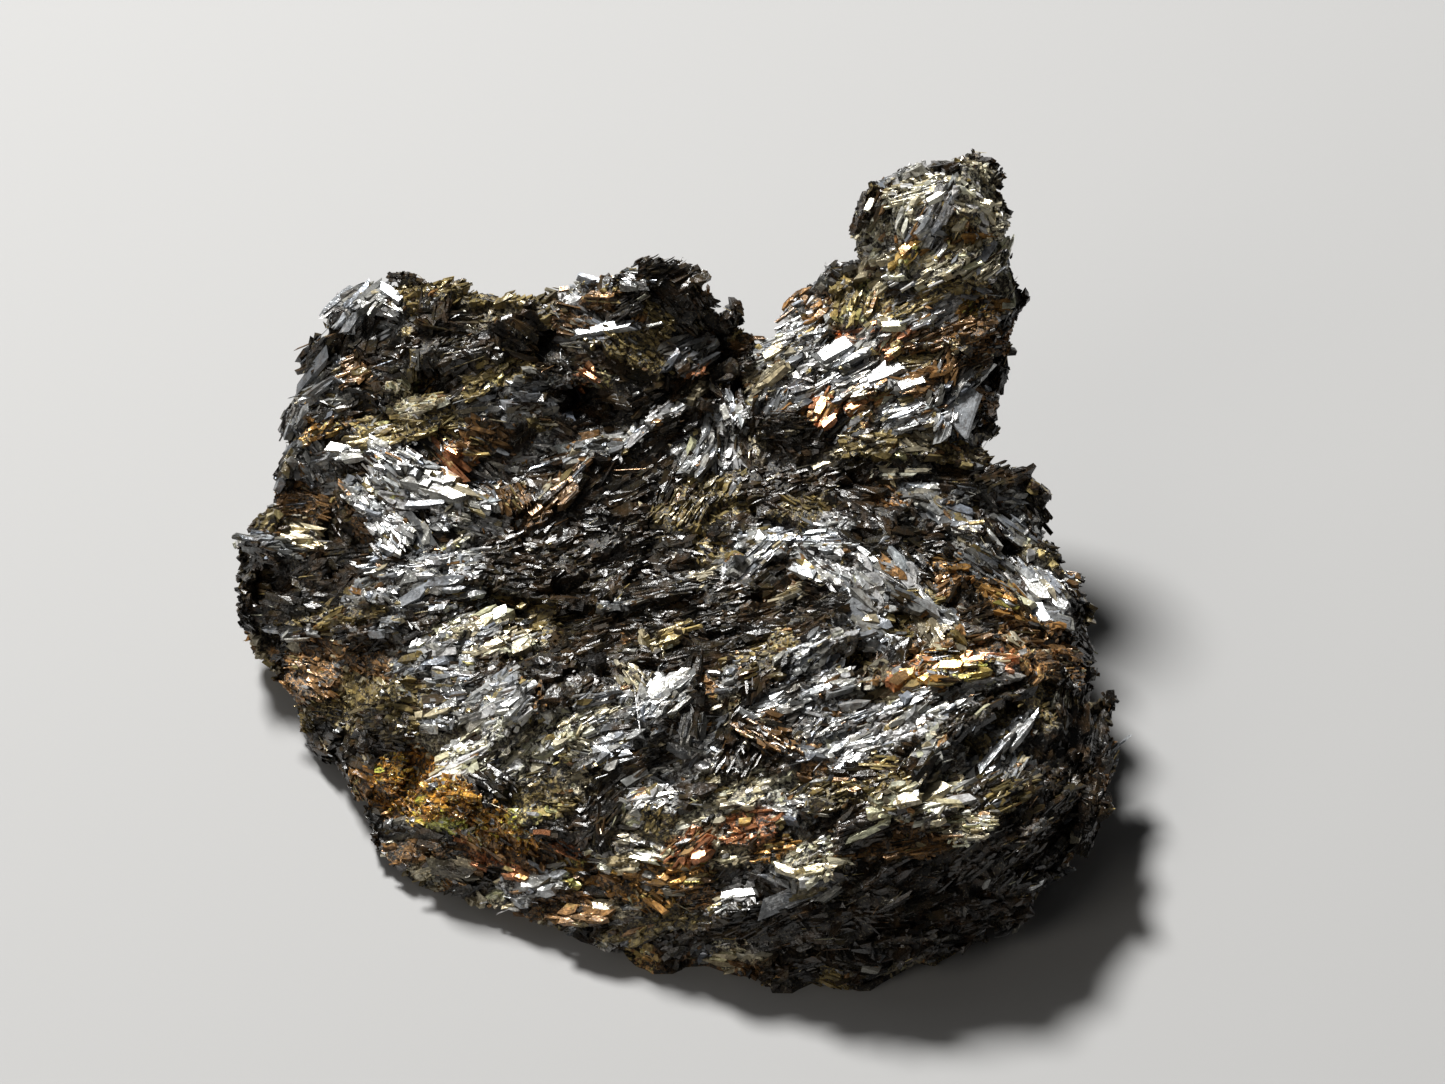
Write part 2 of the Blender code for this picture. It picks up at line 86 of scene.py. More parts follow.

# What is read off the side that is seen: photo pixels across and down, half-length, half-width, the way
# the crystals run in degrees anticlockwise from level, finish, and how squarely the faces catch the light.
# Rows of silver and cream paint the glint of flashing faces into their colour.
PATCHES = [
    # Dark rows with little or no glint under the back rim, in the middle hollow, in the horn's hollow and on the steep
    # low front right put near-black crystals where those faces lie in shade: painted shade over the rock's own dark
    # amphibole.
    (352, 298, 42, 24, 42, SILVER_PAINTED_GLINT, 0.9), (430, 290, 52, 14, 6, OLIVE, 0.4), (505, 294, 50, 12, 5, OLIVE, 0.6),
    (607, 281, 58, 11, -4, SILVER_PAINTED_GLINT, 1.0), (660, 268, 34, 20, 30, DARK, 0.2), (603, 333, 36, 11, 6, SILVER_PAINTED_GLINT, 1.0),
    (392, 300, 26, 10, -20, SILVER_PAINTED_GLINT, 0.8), (700, 305, 26, 26, -50, DARK, 0.2), (640, 350, 36, 24, -30, OLIVE, 0.2),
    (540, 345, 50, 20, -30, DARK, 0.1), (500, 372, 46, 14, 24, OLIVE, 0.45), (445, 342, 44, 20, 5, DARK, 0.0),
    (588, 380, 15, 7, -40, COPPER, 0.8), (700, 368, 18, 8, 24, COPPER, 0.7), (355, 372, 34, 14, 30, BRONZE, 0.4),
    (306, 384, 22, 16, 40, SILVER_PAINTED_GLINT, 0.9), (330, 428, 34, 8, 22, GOLD, 0.5), (405, 428, 56, 16, 20, OLIVE, 0.4),
    (288, 420, 18, 30, 70, SILVER_PAINTED_GLINT, 0.6), (520, 398, 60, 12, 10, SILVER_PAINTED_GLINT, 0.35), (610, 420, 50, 24, 5, DARK, 0.1),
    (345, 448, 44, 9, 8, SILVER_PAINTED_GLINT, 0.8), (420, 470, 56, 16, -28, SILVER_PAINTED_GLINT, 0.8), (365, 500, 34, 16, -30, SILVER_PAINTED_GLINT, 0.85),
    (385, 525, 34, 22, -38, SILVER_PAINTED_GLINT, 0.95), (340, 475, 30, 14, -30, DARK, 0.1), (450, 500, 44, 14, -24, SILVER_PAINTED_GLINT, 0.7),
    (300, 505, 34, 12, 12, BRONZE, 0.4), (262, 520, 22, 14, 10, OLIVE, 0.4), (288, 532, 12, 5, 0, CREAM_PAINTED_GLINT, 0.9),
    (455, 455, 26, 9, -38, COPPER, 0.6), (480, 440, 26, 12, -20, BRONZE, 0.4), (545, 497, 42, 15, 38, BRONZE, 0.7),
    (505, 498, 20, 16, -60, BRONZE, 0.3), (575, 445, 40, 14, 14, SILVER_PAINTED_GLINT, 0.4), (620, 480, 60, 40, 30, DARK, 0.0),
    (560, 560, 80, 30, 8, DARK, 0.0), (650, 555, 50, 22, 10, DARK, 0.0), (545, 655, 56, 20, 12, DARK, 0.0),
    (700, 655, 46, 18, 16, DARK, 0.0), (620, 600, 30, 10, 24, SILVER_PAINTED_GLINT, 0.5), (690, 505, 30, 22, 50, OLIVE, 0.5),
    (650, 420, 38, 12, 42, SILVER_PAINTED_GLINT, 0.8), (735, 415, 14, 26, 105, SILVER_PAINTED_GLINT, 0.8), (715, 450, 32, 20, 100, SILVER_PAINTED_GLINT, 0.9),
    (690, 455, 16, 20, 60, SILVER_PAINTED_GLINT, 0.9), (675, 390, 40, 16, 35, DARK, 0.1), (770, 345, 34, 14, 36, SILVER_PAINTED_GLINT, 0.8),
    (800, 375, 52, 12, 30, SILVER_PAINTED_GLINT, 0.8), (845, 355, 40, 14, 28, SILVER_PAINTED_GLINT, 0.9), (735, 335, 24, 12, 10, BRONZE, 0.4),
    (812, 300, 24, 26, 50, BRONZE, 0.5), (858, 296, 18, 24, 70, OLIVE, 0.5), (880, 330, 50, 7, 12, COPPER, 0.4),
    (950, 330, 46, 14, 16, BRONZE, 0.4), (895, 322, 14, 6, 0, CREAM_PAINTED_GLINT, 1.0), (900, 372, 48, 10, 26, SILVER_PAINTED_GLINT, 0.8),
    (958, 404, 26, 24, 70, SILVER_PAINTED_GLINT, 0.75), (760, 375, 30, 10, 40, CREAM_PAINTED_GLINT, 0.8), (940, 352, 50, 9, 20, OLIVE, 0.7),
    (870, 385, 30, 9, 28, CREAM_PAINTED_GLINT, 0.8), (700, 500, 40, 20, 40, OLIVE, 0.6), (915, 412, 34, 16, 20, SILVER_PAINTED_GLINT, 0.9),
    (823, 413, 13, 18, 70, COPPER, 1.0), (860, 402, 20, 7, 30, COPPER, 0.8), (870, 440, 46, 12, 12, OLIVE, 0.5),
    (905, 450, 22, 8, 10, CREAM_PAINTED_GLINT, 0.9), (985, 455, 44, 16, -12, OLIVE, 0.4), (800, 470, 50, 24, 10, DARK, 0.2),
    (950, 492, 60, 10, -8, SILVER_PAINTED_GLINT, 0.4), (990, 510, 50, 12, -14, DARK, 0.1), (830, 450, 20, 10, 20, CREAM_PAINTED_GLINT, 0.6),
    (800, 530, 50, 9, 8, SILVER_PAINTED_GLINT, 0.7), (740, 555, 44, 14, 14, SILVER_PAINTED_GLINT, 0.6), (975, 545, 36, 20, -30, SILVER_PAINTED_GLINT, 0.8),
    (945, 560, 8, 10, 0, GOLD, 0.6), (1012, 525, 36, 12, -28, SILVER_PAINTED_GLINT, 0.5), (890, 520, 60, 14, -10, DARK, 0.2),
    (850, 578, 56, 11, -28, SILVER_PAINTED_GLINT, 0.9), (915, 600, 56, 11, -22, SILVER_PAINTED_GLINT, 0.8), (880, 560, 44, 9, -32, SILVER_PAINTED_GLINT, 0.7),
    (1045, 590, 28, 26, -60, SILVER_PAINTED_GLINT, 1.0), (1010, 600, 26, 16, -30, GOLD, 0.5), (1030, 640, 44, 12, -8, BRONZE, 0.3),
    (950, 660, 42, 12, -4, GOLD, 1.0), (918, 660, 14, 18, 40, COPPER, 1.0), (1000, 655, 30, 8, 6, COPPER, 0.6),
    (960, 635, 50, 8, 8, BRONZE, 0.6), (820, 600, 50, 22, 12, DARK, 0.1), (690, 600, 60, 26, 14, DARK, 0.2),
    (740, 560, 34, 12, 30, SILVER_PAINTED_GLINT, 0.5), (600, 620, 50, 18, 5, DARK, 0.1), (655, 690, 24, 22, 70, SILVER_PAINTED_GLINT, 0.8),
    (700, 575, 22, 9, 24, CREAM_PAINTED_GLINT, 0.7), (590, 700, 44, 12, 16, SILVER_PAINTED_GLINT, 0.4), (760, 650, 56, 14, 18, OLIVE, 0.5),
    (820, 640, 44, 14, 20, SILVER_PAINTED_GLINT, 0.5), (800, 690, 56, 16, 16, SILVER_PAINTED_GLINT, 0.5), (870, 712, 56, 9, 22, SILVER_PAINTED_GLINT, 0.8),
    (930, 705, 44, 9, 12, SILVER_PAINTED_GLINT, 0.8), (835, 745, 50, 9, 6, SILVER_PAINTED_GLINT, 0.7), (790, 745, 42, 10, -30, BRONZE, 0.6),
    (865, 785, 50, 8, 6, OLIVE, 0.6), (920, 795, 44, 14, 12, CREAM_PAINTED_GLINT, 1.0), (960, 780, 26, 10, 30, CREAM_PAINTED_GLINT, 0.9),
    (1010, 745, 52, 13, 40, SILVER_PAINTED_GLINT, 0.8), (1040, 715, 26, 14, 40, OLIVE, 0.5), (1085, 740, 20, 40, 70, DARK, 0.1),
    (980, 730, 22, 12, 10, SILVER_PAINTED_GLINT, 0.6), (850, 820, 44, 12, 20, DARK, 0.2), (720, 800, 60, 26, 30, STRAW, 0.6),
    (660, 780, 46, 18, 24, SILVER_PAINTED_GLINT, 0.6), (655, 810, 12, 30, 62, OLIVE, 0.6), (600, 790, 34, 22, 60, DARK, 0.2),
    (520, 690, 34, 18, 50, SILVER_PAINTED_GLINT, 0.8), (455, 700, 40, 16, 12, SILVER_PAINTED_GLINT, 0.5), (545, 725, 50, 12, 52, STRAW, 0.9),
    (480, 740, 56, 18, 34, STRAW, 0.8), (580, 720, 40, 16, 30, STRAW, 0.8), (520, 760, 30, 14, 30, STRAW, 0.7),
    (575, 775, 20, 16, 8, CREAM_PAINTED_GLINT, 0.8), (550, 800, 34, 12, 8, OLIVE, 0.7), (620, 740, 34, 18, 20, SILVER_PAINTED_GLINT, 0.5),
    (430, 600, 60, 13, 12, SILVER_PAINTED_GLINT, 0.6), (345, 612, 50, 11, 8, OLIVE, 0.5), (300, 628, 34, 6, 6, SILVER_PAINTED_GLINT, 1.0),
    (470, 625, 40, 9, 16, CREAM_PAINTED_GLINT, 0.8), (455, 640, 50, 12, 14, SILVER_PAINTED_GLINT, 0.6), (350, 655, 46, 14, -20, BRONZE, 0.4),
    (310, 680, 30, 30, -30, BRONZE, 0.3), (385, 700, 56, 26, -14, OLIVE, 0.3), (420, 660, 44, 14, 6, SILVER_PAINTED_GLINT, 0.4),
    (330, 745, 44, 18, -14, DARK, 0.2), (262, 575, 26, 22, 0, DARK, 0.2), (330, 575, 46, 16, 12, DARK, 0.3),
    (440, 560, 50, 14, 8, SILVER_PAINTED_GLINT, 0.5), (410, 585, 60, 9, 8, SILVER_PAINTED_GLINT, 0.7), (500, 640, 30, 12, 24, CREAM_PAINTED_GLINT, 0.5),
    (425, 795, 48, 22, -8, RUST, 0.7), (470, 815, 44, 22, -24, RUST, 0.7), (512, 838, 30, 13, -30, RUST, 0.5),
    (565, 848, 34, 9, -26, COPPER, 0.7), (445, 840, 34, 8, -14, DARK, 0.1), (640, 850, 34, 12, -20, CREAM_PAINTED_GLINT, 0.9),
    (675, 868, 26, 12, -10, GOLD, 0.9), (500, 845, 40, 7, -24, BRONZE, 0.8), (700, 900, 30, 12, 10, BRONZE, 0.7),
    (600, 880, 30, 9, -10, BRONZE, 0.8), (420, 850, 44, 10, 4, BRONZE, 0.6), (500, 866, 50, 8, -24, COPPER, 0.8),
    (530, 882, 24, 12, 14, SILVER_PAINTED_GLINT, 0.9), (650, 892, 30, 12, -32, GOLD, 0.9), (575, 878, 26, 12, 10, GOLD, 0.8),
    (600, 903, 13, 9, 10, CREAM_PAINTED_GLINT, 1.0), (622, 862, 22, 8, 10, CREAM_PAINTED_GLINT, 0.9), (700, 850, 16, 12, 40, COPPER, 0.9),
    (745, 826, 34, 16, 20, COPPER, 0.7), (730, 862, 30, 12, 16, CREAM_PAINTED_GLINT, 0.9), (775, 852, 26, 10, 14, GOLD, 0.7),
    (690, 872, 30, 14, 10, GOLD, 0.8), (560, 905, 34, 10, -14, BRONZE, 0.7), (735, 895, 26, 9, 20, SILVER_PAINTED_GLINT, 1.0),
    (775, 880, 30, 9, -20, SILVER_PAINTED_GLINT, 0.8), (815, 870, 34, 9, 18, CREAM_PAINTED_GLINT, 0.9), (810, 846, 40, 12, 20, STRAW, 0.8),
    (640, 930, 44, 16, 14, OLIVE, 0.6), (900, 850, 44, 9, 10, BRONZE, 0.3), (880, 930, 130, 38, 8, DARK, 0.0),
    (1078, 770, 26, 44, 60, DARK, 0.0), (985, 865, 100, 44, 34, DARK, 0.0), (880, 895, 70, 30, 20, DARK, 0.0),
    (1040, 845, 60, 44, 44, DARK, 0.0), (885, 192, 11, 9, 60, DARK, 0.0), (930, 180, 40, 18, 10, STRAW, 0.95),
    (975, 195, 24, 20, -40, STRAW, 0.95), (930, 215, 30, 14, 60, SILVER_PAINTED_GLINT, 0.7), (955, 240, 36, 14, 60, OLIVE, 0.8),
    (870, 225, 12, 26, 80, STRAW, 0.95), (905, 210, 12, 14, 70, STRAW, 0.95), (988, 222, 14, 22, -60, STRAW, 0.95),
    (925, 262, 30, 12, 36, STRAW, 0.95), (905, 246, 10, 14, 60, GOLD, 1.0), (971, 235, 11, 11, 0, GOLD, 0.9),
    (895, 275, 26, 12, 30, STRAW, 0.9), (960, 262, 40, 12, 20, STRAW, 0.9), (940, 290, 56, 12, 16, OLIVE, 0.9),
    (1000, 280, 16, 24, 60, STRAW, 0.7), (980, 310, 36, 8, 12, GOLD, 0.5), (940, 312, 40, 7, 12, SILVER_PAINTED_GLINT, 0.7),
    (885, 262, 16, 9, 10, CREAM_PAINTED_GLINT, 0.9), (1000, 250, 24, 10, 75, STRAW, 0.9), (955, 178, 26, 9, -24, STRAW, 0.9),
    (902, 184, 16, 9, 40, STRAW, 0.8), (985, 340, 24, 9, 14, BRONZE, 0.7), (870, 250, 20, 12, 30, STRAW, 0.9),
    (925, 812, 36, 9, 10, CREAM_PAINTED_GLINT, 1.0), (880, 815, 20, 8, 30, CREAM_PAINTED_GLINT, 0.9),
]

# Single cleavage plates that stand out in the photograph: pixel across and down, length and width in
# millimetres, the way they run in degrees, finish, and how squarely they catch the light.
# Silver and cream plates carry painted glint in their colour.
PLATES = [
    (958, 404, 2.7, 2.3, 70, SILVER_PAINTED_GLINT, 0.75), (1036, 584, 1.9, 1.1, -60, SILVER_PAINTED_GLINT, 0.95),
    (1056, 602, 1.7, 0.9, -48, SILVER_PAINTED_GLINT, 1.0), (1040, 612, 1.5, 0.8, -66, SILVER_PAINTED_GLINT, 1.0),
    (1026, 600, 1.2, 0.6, -30, CREAM_PAINTED_GLINT, 0.95), (838, 350, 2.1, 1.2, 30, SILVER_PAINTED_GLINT, 0.80),
    (795, 374, 2.0, 0.9, 32, SILVER_PAINTED_GLINT, 0.78), (770, 348, 1.5, 0.8, 38, CREAM_PAINTED_GLINT, 0.75),
    (880, 372, 1.9, 0.8, 26, SILVER_PAINTED_GLINT, 0.85), (915, 380, 1.6, 0.9, 24, SILVER_PAINTED_GLINT, 0.70),
    (603, 333, 3.6, 0.8, 6, SILVER_PAINTED_GLINT, 1.0), (895, 321, 1.5, 0.6, 4, CREAM_PAINTED_GLINT, 1.0), (905, 450, 1.4, 0.8, 12, CREAM_PAINTED_GLINT, 0.9),
    (655, 688, 1.6, 1.2, 70, SILVER_PAINTED_GLINT, 0.8), (600, 903, 1.3, 0.9, 10, CREAM_PAINTED_GLINT, 1.0), (288, 532, 1.2, 0.6, 0, CREAM_PAINTED_GLINT, 0.9),
    (497, 638, 1.5, 0.6, 20, CREAM_PAINTED_GLINT, 0.9), (735, 893, 2.0, 0.7, 20, SILVER_PAINTED_GLINT, 1.0), (930, 795, 1.8, 1.1, 14, CREAM_PAINTED_GLINT, 1.0),
    (905, 800, 1.4, 0.9, 8, CREAM_PAINTED_GLINT, 1.0), (955, 782, 1.3, 0.8, 26, CREAM_PAINTED_GLINT, 0.95), (530, 882, 1.6, 0.8, 14, SILVER_PAINTED_GLINT, 0.9),
    (545, 500, 1.8, 0.7, 40, BRONZE, 0.9), (990, 752, 2.4, 0.6, 40, SILVER_PAINTED_GLINT, 0.9),
    (1022, 735, 2.2, 0.6, 40, SILVER_PAINTED_GLINT, 0.8), (872, 262, 1.3, 0.8, 30, STRAW, 0.8),
    (385, 292, 1.8, 0.7, -30, SILVER_PAINTED_GLINT, 0.9), (590, 275, 2.6, 0.5, -6, SILVER_PAINTED_GLINT, 0.9),
    (990, 250, 1.6, 0.9, 60, SILVER_PAINTED_GLINT, 0.6), (914, 655, 1.2, 0.8, 60, COPPER, 1.0), (928, 667, 1.1, 0.7, 20, GOLD, 1.0),
    (946, 660, 1.3, 0.7, 0, GOLD, 1.0), (964, 653, 1.1, 0.6, 30, COPPER, 1.0), (904, 672, 0.9, 0.6, 0, GOLD, 1.0),
    (978, 663, 1.0, 0.5, 10, COPPER, 1.0), (930, 648, 0.9, 0.5, 40, GOLD, 1.0), (955, 670, 0.9, 0.4, -10, COPPER, 1.0),
    (820, 405, 1.1, 0.7, 70, GOLD, 1.0), (827, 424, 0.9, 0.6, 40, COPPER, 1.0), (858, 402, 1.1, 0.5, 30, COPPER, 1.0),
    (905, 246, 1.1, 0.8, 60, GOLD, 1.0), (700, 851, 0.8, 0.6, 20, COPPER, 1.0), (745, 822, 0.7, 0.4, 10, GOLD, 0.9),
    (660, 882, 0.9, 0.5, -30, GOLD, 1.0), (478, 866, 1.0, 0.3, -24, COPPER, 1.0), (525, 880, 0.7, 0.4, -20, GOLD, 1.0),
    (1008, 602, 0.7, 0.4, -30, GOLD, 0.9), (455, 452, 0.9, 0.3, -38, COPPER, 1.0), (418, 786, 0.8, 0.5, 0, GOLD, 1.0),
    (880, 322, 0.9, 0.3, 20, COPPER, 0.9), (620, 862, 1.3, 0.6, 16, CREAM_PAINTED_GLINT, 1.0), (940, 196, 1.2, 0.5, 40, STRAW, 1.0),
    (962, 222, 1.1, 0.5, 60, STRAW, 1.0), (985, 205, 1.0, 0.5, -40, STRAW, 1.0), (925, 232, 1.0, 0.5, 50, STRAW, 1.0),
    (975, 262, 1.4, 0.5, 20, STRAW, 1.0), (925, 285, 1.3, 0.5, 30, STRAW, 1.0), (865, 205, 0.9, 0.5, 70, STRAW, 1.0),
    (586, 372, 0.8, 0.3, -40, COPPER, 1.0), (780, 872, 1.3, 0.5, -20, CREAM_PAINTED_GLINT, 1.0), (815, 868, 1.4, 0.5, 18, CREAM_PAINTED_GLINT, 1.0),
    (690, 868, 1.2, 0.6, 10, CREAM_PAINTED_GLINT, 0.9),
]

# Share of each finish where no patch says otherwise.
COMMON_SHARES = {DARK: 0.46, SILVER_PAINTED_GLINT: 0.17, OLIVE: 0.13, BRONZE: 0.12, CREAM_PAINTED_GLINT: 0.12}

# For each finish in turn: its share of its sheaf's crystals, how like a metal it shines, how far streaks and stains
# may hide its faces, and how large its crystals are against the usual.
OWN_SHARES = np.array([0.97, 0.74, 0.72, 0.62, 0.64, 0.52, 0.52, 0.72, 0.84])
SHINE = np.array([0.0, 0.72, 0.58, 0.50, 0.30, 0.80, 0.80, 0.08, 0.42])
STAINED = np.array([1.0, 1.0, 0.9, 1.0, 0.9, 1.0, 1.0, 1.0, 0.5])
FINENESS = np.array([1.0, 1.0, 0.95, 0.75, 0.68, 0.8, 0.8, 0.7, 0.68])

# Tones: more red and less blue for each step towards the warm, the painted shade that darkens a metallic face whose
# sheaf misses the light, how much brown a dark one may hold and how rarely, the palest colour, how far crystals
# differ, and the range of shine in one finish.
WARMER = np.array([0.03, 0.0, -0.07])
PAINTED_SHADE_OFF_LIGHT, BROWN_SHARE, BROWN_POWER, PALEST, TONE_SPREAD = 0.62, 0.13, 3, 0.92, 0.30
SHINE_RANGE = (0.5, 1.0)

# A face rests on the floor if none of it is higher than this. Points of the solid this near are one point.
RESTING = 1e-6
WELD = 1e-7

# Large odd numbers, mostly prime, that scatter the numbers of neighbouring cells.
HASH_PRIMES = (73856093, 19349663, 83492791, 2654435761, 1274126177)

# How far under the solid's own skin the crystals' flats lie, so that their tips just reach it.
SUNK = 0.18 * MM

# Places drawn on the seen side, to find what a photo pixel shows. A place one millimetre nearer to the camera is
# preferred as if it were so many squared pixels closer. The batches keep the arrays small.
VIEW_PLACES = 30_000
NEARER = 8.0
BATCH, SHEAF_BATCH = 300, 2000

# How squarely skin faces the camera to count as seen, for a pixel and for a sheaf. Rounds that smooth the normals
# of crystals and skin. A facet's own share in a sheaf's normal.
SEEN, COMMON_SEEN = 0.08, 0.05
BROAD_ROUNDS, SKIN_ROUNDS = 3, 2
FACET_SHARE = 0.45

# Sheaves between the patches: patch sizes that they keep away and the share that doesn't, a patch's own reach, the
# spread of direction, roll, pitch, depth in millimetres, brightness and tilt, and the range of glint.
CLEAR, LET_IN, PATCH_EDGE = 0.85, 0.22, 1.15
TURN_INSIDE, TURN_OUTSIDE = 0.26, 0.55
COMMON_ROLL, COMMON_PITCH, COMMON_DEPTH, COMMON_BRIGHT, COMMON_TILT = 0.42, 0.20, 0.10, 0.50, 0.12
COMMON_GLINT, GLINT_POWER = 0.8, 1.5

# The share of them that lies deep, and how deep. The share that turns most to the light, and the pull on those and
# on the rest. A sheaf rolls less the nearer its glint comes to the last number.
DEEP_SHARE, DEEP = 0.16, 0.40
TURNED_SHARE, MOST_TURNED, FEW_TURNED = 0.8, 0.85, 0.2
LIVELY = 1.15

# Sheaves in a patch: pixels of half-length to each, the share of the patch that they fill, and the same spreads.
# Then how far out they stand, how far dark ones go in, their reach against a usual patch in pixels, the light's
# pull, and their share of a clump's step.
PATCH_SPACING, PATCH_FILLED, PATCH_ASIDE, PATCH_TURN = 24, 0.85, 0.12, 0.10
PATCH_ROLL, PATCH_PITCH, PATCH_DEPTH, PATCH_BRIGHT, PATCH_TILT, OWN_TILT = 0.34, 0.12, 0.10, 0.20, 0.11, 0.03
PATCH_OUT, DARK_IN = 0.06, 0.30
USUAL_LONG, LONG_RANGE, USUAL_WIDE, WIDE_RANGE = 34, (0.7, 1.2), 17, (0.55, 1.25)
PATCH_TURNED, PATCH_STEP = 0.88, 0.45

# All sheaves: spread and range of crystal size, the share that is fibrous, a clump's range of steps, how stiffly a
# sheaf keeps its direction when it turns to the light, and the least that it is taken to face out of the skin.
SIZE_SPREAD, SIZE_RANGE = 0.28, (-0.5, 0.55)
FIBROUS_SHARE, CLUMP_RANGE = 0.3, (-1.0, 0.12)
SHEAF_STIFF, LEAST_FACING = 0.75, 0.45

# Skin counts as slanted to the camera by at least the first number, and a direction leans away from the camera by
# the second at most. The last eases a patch's pull on directions near its middle.
LEAST_SLANT, MOST_LEAN, PULL_SOFTNESS = 0.35, 1.6, 0.35

# Patterns of the finishes: how fine to the metre, detail, roughness, and where the marks start and are full.
ROCK_CLOUD = (4200.0, 5.0, 0.75, 0.48, 0.60)
ROCK_STAIN = (1300.0, 4.0, 0.6, 0.48, 0.64)
ROCK_SPECKS = (7500.0, 3.0, 0.7, 0.58, 0.66)
FACE_STREAKS = (1.0, 4.0, 0.7, 0.45, 0.57)
FACE_CLOUD = (5200.0, 5.0, 0.75, 0.47, 0.56)
FACE_BLOTCHES = (1900.0, 4.0, 0.7, 0.48, 0.59)
FACE_STAIN = (900.0, 3.0, 0.6, 0.45, 0.65)

# Patterns that raise the surface: how fine to the metre, detail, roughness, and depth in metres.
ROCK_GRAIN = (11000.0, 4.0, 0.7, 0.00002)
ROCK_CHIPS = (3800.0, 5.0, 0.7, 0.00010)
FACE_STRIATIONS = (1.0, 3.0, 0.6, 0.000012)
FACE_STEPS = (3600.0, 3.0, 0.6, 0.000040)

# The pattern of the rock's gloss, then what roughness and shine make of a pattern: its low and high, and theirs.
ROCK_GLOSS = (3300.0, 4.0, 0.6)
ROCK_ROUGHNESS = (0.3, 0.7, 0.20, 0.55)
FACE_ROUGHNESS = (0.2, 1.8, 0.16, 0.38)
FACE_SHINE = (0.3, 1.9, 1.0, 0.35)

# How much of the rock stain and specks cover. How bright dark mineral, stain and specks are in the rock, and dark
# and stained places on a face, against the colour that they take.
STAIN_COVERS, SPECKS_COVER = 0.25, 0.5
ROCK_DARK, ROCK_BRONZE, ROCK_CREAM, FACE_DARK, FACE_BRONZE = 0.7, 0.30, 0.5, 0.9, 0.13

# How fine streaks and striations are along and across a crystal. How much streaks, cloud and blotches hide of a
# face, and how much of that its shine keeps off.
STREAK_LAY, STRIATION_LAY = (1500.0, 12000.0), (1500.0, 15000.0)
STREAKS_HIDE, CLOUD_HIDES, BLOTCHES_HIDE, SHINE_KEEPS = 0.60, 0.70, 0.62, 0.5
INDEX_OF_REFRACTION = 1.54

# A bar's four-sided section, as shares of its width and thickness: a flat top and a wider, hidden underside.
BAR_SECTION = np.array([(-0.5, -0.5), (0.5, -0.5), (0.37, 0.5), (-0.37, 0.5)])
BAR_SIDES = len(BAR_SECTION)

# Stations along each kind of bar: place along its length and share of its width. A slab's ends are nearly square.
BLOCK_STATIONS = np.array([(-0.5, 0.80), (0.05, 1.0), (0.5, 0.66)])
SLAB_STATIONS = np.array([(-0.5, 0.90), (0.05, 1.0), (0.5, 0.84)])
LATH_STATIONS = np.array([(-0.5, 0.92), (0.5, 0.74)])
SPLINTER_STATIONS = np.array([(-0.5, 0.55), (-0.05, 1.0), (0.5, 0.10)])

# How unruly each kind is: its turn, roll and pitch in radians, how far it keeps out of its sheaf's rows, how far
# its corners are broken as a share of its size, and how proud it lies.
HABITS = {
    "block_crystals": {"jitter": (0.15, 0.15, 0.10), "loose": 0.5, "broken": 0.17},
    "cleavage_slabs": {"jitter": (0.10, 0.10, 0.07), "loose": 0.3, "broken": 0.14, "proud": 0.03 * MM},
    "lath_crystals": {"jitter": (0.06, 0.16, 0.05), "broken": 0.10},
    "flakes": {"jitter": (0.6, 0.40, 0.35), "loose": 1.0, "broken": 0.24},
    "splinters": {"jitter": (0.40, 0.35, 0.14), "loose": 1.0},
    "needles": {"jitter": (0.30, 0.40, 0.08), "loose": 1.0},
    "rusty_grains": {"jitter": (1.2, 0.6, 0.6), "loose": 1.0, "broken": 0.30, "proud": 0.12 * MM},
}

# Any bar: how ragged its sheaf's border is, spread and range of its length and thickness, range of its width,
# unevenness of its height, and how far its middle lies under the flat as a share of its thickness.
RAGGED_BORDER = 0.10 * MM
LENGTH_SPREAD, LENGTH_RANGE, THICKNESS_SPREAD = 0.36, (-0.8, 0.7), 0.25
WIDTH_RANGE, UNEVEN, BEDDED = (0.75, 1.35), 0.04 * MM, 0.32

# A bar that leans out of the skin by more than the first share loses length or width at the second rate.
LEAN_KEPT, LEAN_LOSS = 0.15, 0.7
ROLL_KEPT, ROLL_LOSS = 0.30, 0.6

# The gap round a bar's faces where they are baked, as a share of a face, and how far in metres the pattern of one
# bar may be shifted against the next's.
BAKE_GAP = 0.08
PATTERN_SHIFT = 0.1
ROW_SEED = 17

# Patches are filled with slabs and grains out to this share of their half-sizes.
PATCH_REACH = 0.9

# Pixels of the photograph that one slab covers, and the glint from which a patch has slabs.
SLAB_AREA = 330
GLINT_OF_SLABS = 0.55
# Slabs of silver and cream carry painted glint in their colour.
SLAB_FINISHES = [SILVER_PAINTED_GLINT, CREAM_PAINTED_GLINT, COPPER, GOLD]
SLAB_SPREAD = 0.35

# Pixels of the photograph that one rusty grain covers, if the grains lie in one layer, and the grains' finishes.
GRAIN_AREA = 9
GRAIN_SHARES = {RUST: 0.56, BRONZE: 0.10, GOLD: 0.16, CREAM_PAINTED_GLINT: 0.08, DARK: 0.10}

# How far plates give way to the light, how stiffly, and how far they miss it. A facet's share in their normal, how
# broken and skewed they are, and how far their tones differ.
PLATE_PULL, PLATE_STIFF, PLATE_MISS = 0.95, 0.15, 0.06
PLATE_FACET, PLATE_BROKEN, PLATE_SKEW, PLATE_SPREAD = 0.3, 0.10, 0.5, 0.12

